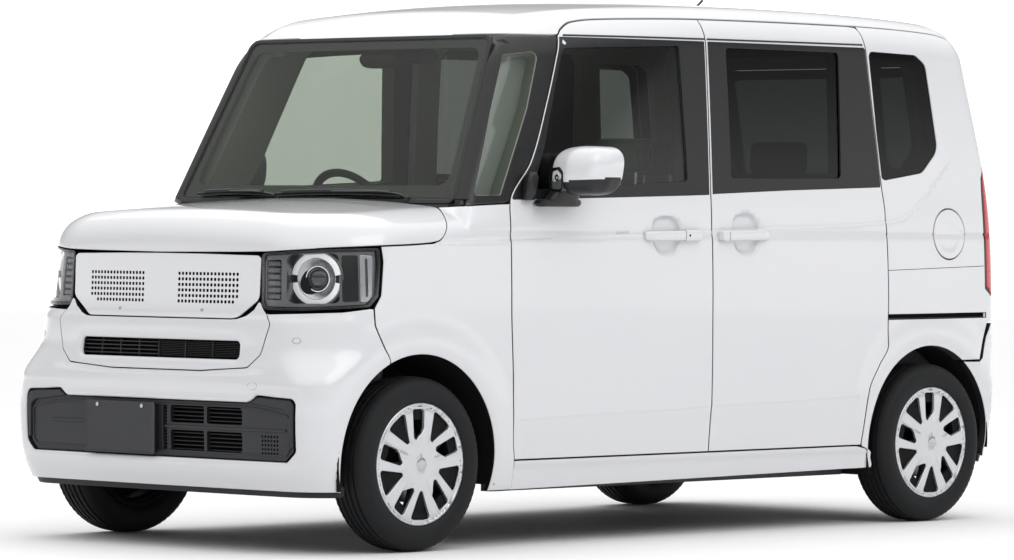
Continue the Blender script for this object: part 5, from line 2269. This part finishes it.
def bench_rings(cx, hw, dy, kind):
    if kind == "cushion":
        base = resample(rounded([(-416, 452, 28), (-420, 540, 46), (-372, 552, 50), (-70, 528, 70), (84, 540, 24), (84, 452, 24)], 6), 64)
    elif kind == "back":
        base = resample(rounded([(6, 545, 34), (84, 1098, 44), (160, 1106, 44), (98, 505, 28), (22, 505, 28)], 6), 72)
    else:
        base = resample(rounded([(106, 1202, 28), (112, 1318, 34), (176, 1318, 34), (170, 1202, 26)], 4), 48)
    out = []
    for k in XS:
        e = (1 - min(abs(k), 0.9995) ** 6) ** (1 / 6.0)
        y, z = base[:, 0].copy(), base[:, 1].copy()
        if kind == "cushion":
            top = smooth(480, 540, z)
            z = 492 + (z - 492) * e + 15 * abs(k) ** 3 * top * e
            y = -166 + (y + 166) * (0.90 + 0.10 * e)
        elif kind == "back":
            ym = 46 + (z - 505) * 0.128
            face = smooth(0.0, -36.0, y - ym)
            w = 1.0 - 0.16 * smooth(980, 1110, z)
            y = ym + (y - ym) * e - 17 * abs(k) ** 3 * face * smooth(1090, 900, z) * e
            z = 806 + (z - 806) * (0.92 + 0.08 * e)
            out.append(np.stack([cx + k * hw * w, y + dy, z], 1))
            continue
        else:
            ym = 141.0
            y = ym + (y - ym) * e + 10 * (abs(k) ** 2)
            z = 1260 + (z - 1260) * (0.82 + 0.18 * e)
        out.append(np.stack([np.full(len(y), cx + k * hw), y + dy, z], 1))
    return out


for row, cx, hw, dy in (("front", 322.0, 238.0, 0.0), ("rear", 282.5, 250.0, 840.0)):
    node = row + "_seats"
    low = float(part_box(node)[0][2]) * 1000.0
    for kind in ("cushion", "back", "headrest"):
        w_ = hw if kind != "headrest" else 116.0
        v, f = stuff(bench_rings(cx, w_, dy, kind), 13.0 if kind != "headrest" else 9.0, {"cushion": 22.0, "back": 22.0, "headrest": 12.0}[kind])
        if kind == "cushion":
            side = hw * 0.62
            lines = [[(cx + sg * side, y_ + dy, 545) for y_ in np.linspace(-430, 80, 20)] for sg in (-1, 1)]
            lines += [[(cx + x_, y_ + dy, 545) for x_ in np.linspace(-side, side, 12)] for y_ in (-330, -230, -130)]
            lines = [on_cover(v, f, q, (0, 0, -1), 0.0) for q in lines]
            v = sewn(v, f, lines, lambda v, n: smooth(0.2, 0.6, n[:, 2]))
            look = (0, 0, -1)
        elif kind == "back":
            side = hw * 0.60
            lines = [[(cx + sg * side * (1 - 0.10 * smooth(900, 1110, np.array(z_))), 60 + dy, z_) for z_ in np.linspace(560, 1090, 22)] for sg in (-1, 1)]
            lines += [[(cx + x_, 60 + dy, z_) for x_ in np.linspace(-side * 0.98, side * 0.98, 12)] for z_ in (700, 800, 900, 1000)]
            lines = [on_cover(v, f, q, (0, 1, 0), 0.0) for q in lines]
            v = sewn(v, f, lines, lambda v, n: smooth(-0.2, -0.6, n[:, 1]))
            look = (0, 1, 0)
        else:
            lines = [[(cx + sg * 78, 60 + dy, z_) for z_ in np.linspace(1205, 1318, 10)] for sg in (-1, 1)]
            lines = [on_cover(v, f, q, (0, 1, 0), 0.0) for q in lines]
            v = sewn(v, f, lines, lambda v, n: smooth(-0.2, -0.6, n[:, 1]), depth=3.0, width=6.0)
            look = (0, 1, 0)
        for mir, sd_ in ((False, "left"), (True, "right")):
            ob = add("%s_%s_%s" % (row, kind, sd_), v, f, "seat_fabric", body="body", mirror=mir)
            if kind == "cushion" and not mir:
                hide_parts(node)
            for j, q in enumerate(lines):
                if len(q) < 3:
                    continue
                path = on_cover(v, f, q, look, 0.2)
                if len(path) > 2:
                    tube("%s_%s_seam_%d_%s" % (row, kind, j + 1, sd_), "seat_fabric", path, 1.6, 6, mirror=mir)
    for mir, sd_ in ((False, "left"), (True, "right")):
        for j, sg in enumerate((-1, 1)):
            tube("%s_headrest_post_%d_%s" % (row, j + 1, sd_), "chrome", [(cx + sg * 63, 132 + dy, 1075), (cx + sg * 63, 139 + dy, 1140), (cx + sg * 63, 142 + dy, 1225)], 5.5, 14, mirror=mir)
            loft("%s_headrest_guide_%d_%s" % (row, j + 1, sd_), "cabin_plastic", [oval((cx + sg * 63, 132 + dy, zz), (1, 0, 0), (0, 1, 0), a_, a_, 20, 2.4) for zz, a_ in ((1112, 10), (1122, 15), (1131, 15), (1135, 9))],
                 mirror=mir)
        bx = (110.0, 534.0) if row == "front" else (60.0, 520.0)
        by = (-380.0, 80.0, -360.0, 60.0) if row == "front" else (520.0, 880.0, 520.0, 860.0)
        rings = []
        for t_, g_ in ((0.0, -10), (0.02, 0), (0.2, 0), (0.6, 0), (0.98, 0), (1.0, -14)):
            zz = low + t_ * (446.0 - low)
            y0_, y1_ = by[0] + (by[2] - by[0]) * t_, by[1] + (by[3] - by[1]) * t_
            rings.append(oval(((bx[0] + bx[1]) / 2, (y0_ + y1_) / 2 + (dy if row == "rear" and False else 0), zz), (1, 0, 0), (0, 1, 0),
                              (bx[1] - bx[0]) / 2 + g_ - 6 * math.sin(math.pi * t_), (y1_ - y0_) / 2 + g_ - 6 * math.sin(math.pi * t_), 44, 7.0))
        loft("%s_seat_base_%s" % (row, sd_), "cabin_plastic", rings, mirror=mir)

# steering wheel: leather rim, hub pad, three spokes and their keys, left plain
sw_c = np.array([-330.0, -480.0, 1045.0])
sw_n = np.array([0.0, math.cos(math.radians(30)), math.sin(math.radians(30))])
sw_u = np.array([1.0, 0.0, 0.0])
sw_v = np.cross(sw_n, sw_u)
sw_v = sw_v * (1 if sw_v[2] > 0 else -1)
sb = "steering_wheel"
prof = [(174 + 14.5 * math.cos(t_), 11.5 * math.sin(t_)) for t_ in np.linspace(0, 2 * math.pi, 26)[:-1]]
ob = lathe_obj("steering_rim", "leather_dark", prof, tuple(sw_c), axis=tuple(sw_n), n=96, body=sb, closed=True)
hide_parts("steering_wheel")
rings = []
for h_, g_ in ((-26, 0.55), (-20, 0.86), (-6, 1.0), (6, 1.0), (16, 0.95), (23, 0.8), (27, 0.45)):
    rings.append(oval(tuple(sw_c - sw_n * 0 + sw_n * h_ - sw_v * 6), tuple(sw_u), tuple(sw_v), 84 * g_, 62 * g_, 40, 3.0))
loft("steering_hub_pad", "cabin_plastic", rings, body=sb)
for j, (du, dv_, w0, w1) in enumerate(((1.0, 0.02, 25, 20), (-1.0, 0.02, 25, 20), (0.0, -1.0, 34, 18))):
    dr = du * sw_u + dv_ * sw_v
    dr = dr / np.linalg.norm(dr)
    sd3 = np.cross(sw_n, dr)
    rings = [oval(tuple(sw_c + dr * r_ + sw_n * (2 - 5 * (r_ - 60) / 110.0)), tuple(sd3), tuple(sw_n), w0 + (w1 - w0) * (r_ - 60) / 112.0, 9.0 - 2.5 * (r_ - 60) / 110.0, 24, 3.0) for r_ in (58, 70, 90, 110, 130, 150, 166, 172)]
    loft("steering_spoke_%d" % (j + 1), "plastic_grey", rings, body=sb)
    if j < 2:
        rings = [oval(tuple(sw_c + dr * 116 + sw_n * hh), tuple(sd3), tuple(dr), aa, bb, 24, 3.4) for hh, aa, bb in ((6, 16, 20), (9, 15, 19), (11, 12, 16))]
        loft("steering_keys_%d" % (j + 1), "trim_gloss", rings, body=sb)

# inside mirror on its stalk, and the housing of the forward sensors
rings = []
for k in np.linspace(-1, 1, 21):
    e = (1 - min(abs(k), 0.998) ** 5) ** 0.2
    rings.append(oval((110 * k, -548 + 3 * k * k, 1582), (0, 1, 0), (0, 0.10, 1), 12.0 * e, 27.0 * (0.25 + 0.75 * e), 28, 3.0))
ob = loft("inside_mirror", "cabin_plastic", rings)
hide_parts("interior_mirror")
V, F, G, L = panel_mesh(FlatMap((0, -534.5, 1582), (-1, 0, 0), (0, -0.10, 1)), rounded([(-100, -21, 14), (-100, 21, 14), (100, 21, 14), (100, -21, 14)], 6), depth=2, grid=24, r=0.8)
add("inside_mirror_pane", V, F, "mirror_glass", None, L, "body")
tube("inside_mirror_stalk", "cabin_plastic", [(0, -556, 1590), (0, -566, 1612), (0, -580, 1632), (0, -590, 1650)], 7.0, 14)

rings = [oval((-60, yy, zz), (1, 0, 0), (0, 0.5, -0.86), a_, b_, 36, 3.4) for yy, zz, a_, b_ in
         ((-640, 1560, 60, 14), (-636, 1562, 92, 26), (-612, 1572, 104, 34), (-580, 1588, 108, 38), (-548, 1604, 104, 36), (-528, 1614, 84, 24), (-522, 1617, 40, 10))]
loft("sensor_housing", "cabin_plastic", rings)
for sg, nm in ((1, "left"), (-1, "right")):
    tube("belt_webbing_" + nm, "belt_cloth", [(sg * 640, 118, 1330), (sg * 655, 112, 1200), (sg * 668, 106, 1000), (sg * 672, 102, 800), (sg * 668, 100, 560)], 23.0, 14, flat=0.06, up=(1, 0, 0))
    loft("belt_guide_" + nm, "cabin_plastic", [oval((sg * xx, 120, 1345), (0, 1, 0), (0, 0, 1), a_, b_, 26, 2.8) for xx, a_, b_ in ((632, 22, 14), (640, 32, 24), (652, 33, 25), (660, 26, 18))])
# blank centre screen, vents and switches on the dash
rings = [oval((0, -640 + 0.18 * (1075 - zz), zz), (1, 0, 0), (0, 1, 0), a_, b_, 40, 5.0) for zz, a_, b_ in ((1010, 60, 8), (1014, 112, 13), (1060, 118, 13), (1130, 118, 12), (1150, 114, 10), (1154, 60, 5))]
loft("dash_screen_case", "cabin_plastic", rings)
V, F, G, L = panel_mesh(FlatMap((0, -619, 1080), (-1, 0, 0), (0, -0.18, 1)), rounded([(-106, -56, 10), (-106, 60, 10), (106, 60, 10), (106, -56, 10)], 6), depth=2, grid=26, r=0.8)
add("dash_screen", V, F, "trim_gloss", None, L, "body")
for j, vx in enumerate((-535, -150, 150, 535)):
    rings = [oval((vx, yy, 985), (1, 0, 0), (0, 0, 1), a_, b_, 30, 4.0) for yy, a_, b_ in ((-603, 42, 26), (-595, 44, 28), (-590, 41, 25))]
    loft("dash_vent_%d" % (j + 1), "trim_gloss", rings)
    for i_ in range(4):
        loft("dash_vent_%d_blade_%d" % (j + 1, i_ + 1), "plastic_grey", [oval((xx, -588.5, 970 + 10 * i_), (0, 1, 0), (0, 0, 1), 3.4, 1.6, 12, 2.4) for xx in (vx - 34, vx, vx + 34)])

# ==================================================================== floor
fl = bpy.data.meshes.new("studio_floor")
fl.from_pydata([(-30, -30, 0), (30, -30, 0), (30, 30, 0), (-30, 30, 0)], [], [(0, 1, 2, 3)])
floor = bpy.data.objects.new("studio_floor", fl)
bpy.context.scene.collection.objects.link(floor)
mf = bpy.data.materials.new("pale_floor")
mf.use_nodes = True
nt = mf.node_tree
pb = nt.nodes["Principled BSDF"]
tc = nt.nodes.new("ShaderNodeTexCoord")
nz = nt.nodes.new("ShaderNodeTexNoise")
nz.inputs["Scale"].default_value = 0.6
nt.links.new(tc.outputs["Object"], nz.inputs["Vector"])
rp = nt.nodes.new("ShaderNodeValToRGB")
rp.color_ramp.elements[0].color = (0.775, 0.775, 0.78, 1)
rp.color_ramp.elements[1].color = (0.79, 0.79, 0.795, 1)
nt.links.new(nz.outputs["Fac"], rp.inputs["Fac"])
nt.links.new(rp.outputs["Color"], pb.inputs["Base Color"])
pb.inputs["Roughness"].default_value = 0.7
pb.inputs["Specular IOR Level"].default_value = 0.2
fl.materials.append(mf)

# =================================================================== camera
cam = bpy.data.cameras.new("view")
cam.sensor_width = 36.0
cam.sensor_fit = "HORIZONTAL"
cam.lens = 5185.1 * 36.0 / 1014.0
cam.shift_x = -49.1 / 1014.0
cam.shift_y = -20.9 / 1014.0
cam.clip_end = 200
co = bpy.data.objects.new("view", cam)
bpy.context.scene.collection.objects.link(co)
fw = Vector((-0.68650735, 0.72707283, -0.00852997)).normalized()
rt = fw.cross(Vector((0, 0, 1))).normalized()
upv = rt.cross(fw)
ro = math.radians(0.37)
r2 = rt * math.cos(ro) + upv * math.sin(ro)
u2 = upv * math.cos(ro) - rt * math.sin(ro)
M = Matrix((r2, u2, -fw)).transposed().to_4x4()
M.translation = Vector((12.16323, -12.72335, 1.05858))
co.matrix_world = M
bpy.context.scene.camera = co

# =================================================================== light
w = bpy.data.worlds.new("studio")
bpy.context.scene.world = w
w.use_nodes = True
nt = w.node_tree
bg = nt.nodes["Background"]
tc = nt.nodes.new("ShaderNodeTexCoord")
sp = nt.nodes.new("ShaderNodeSeparateXYZ")
nt.links.new(tc.outputs["Generated"], sp.inputs[0])
rmp = nt.nodes.new("ShaderNodeValToRGB")
cr = rmp.color_ramp
SKY = ((0.0, 0.45), (0.485, 0.62), (0.497, 0.62), (0.53, 0.62), (0.548, 0.30), (0.565, 0.13), (0.60, 0.12), (0.68, 0.22), (0.80, 0.48), (0.90, 0.62), (1.0, 0.62))
cr.elements[0].position, cr.elements[0].color = 0.0, (SKY[0][1], SKY[0][1], SKY[0][1], 1)
cr.elements[1].position, cr.elements[1].color = 1.0, (SKY[-1][1], SKY[-1][1], SKY[-1][1], 1)
for pos, c in SKY[1:-1]:
    e = cr.elements.new(pos)
    e.color = (c, c, c, 1)
mrg = nt.nodes.new("ShaderNodeMapRange")
mrg.inputs["From Min"].default_value = -1
mrg.inputs["From Max"].default_value = 1
nt.links.new(sp.outputs["Z"], mrg.inputs["Value"])
nt.links.new(mrg.outputs["Result"], rmp.inputs["Fac"])
nt.links.new(rmp.outputs["Color"], bg.inputs["Color"])
bg.inputs["Strength"].default_value = 2.6


def area(name, loc, target, size, power, col=(1, 1, 1)):
    l = bpy.data.lights.new(name, "AREA")
    l.shape = "RECTANGLE"
    l.size, l.size_y = size
    l.energy = power
    l.color = col
    o = bpy.data.objects.new(name, l)
    bpy.context.scene.collection.objects.link(o)
    o.location = loc
    d = Vector(target) - Vector(loc)
    o.rotation_euler = d.to_track_quat("-Z", "Y").to_euler()
    return o


area("top", (-2.2, 1.0, 6.5), (0, 0, 0.5), (6, 8), 95)
area("key", (7.0, -0.5, 5.2), (0.5, 0, 1.0), (5, 4), 120)
area("front", (1.0, -8.0, 5.0), (0, -1, 0.8), (5, 3), 12)
bpy.context.scene.view_settings.view_transform = "Standard"
bpy.context.scene.view_settings.look = "None"

# carried-over CAD nodes take a finish that suits them
CADMAT = {
    "steel_under": ("floor_pan", "front_suspension", "rear_axle", "fuel_tank"),
    "cast_metal": ("engine", "steering_knuckle_left", "steering_knuckle_right"),
    "exhaust_steel": ("exhaust",),
    "cabin_plastic": ("dashboard",),
    "wheel_dark": ("wheel_front_left", "wheel_front_right", "wheel_rear_left", "wheel_rear_right"),
}
for mname, nodes_ in CADMAT.items():
    for n in nodes_:
        o = NODES.get(n)
        if o is None:
            continue
        if not o.data.materials:
            o.data.materials.append(MAT[mname])
        for i in range(len(o.data.materials)):
            o.data.materials[i] = MAT[mname]
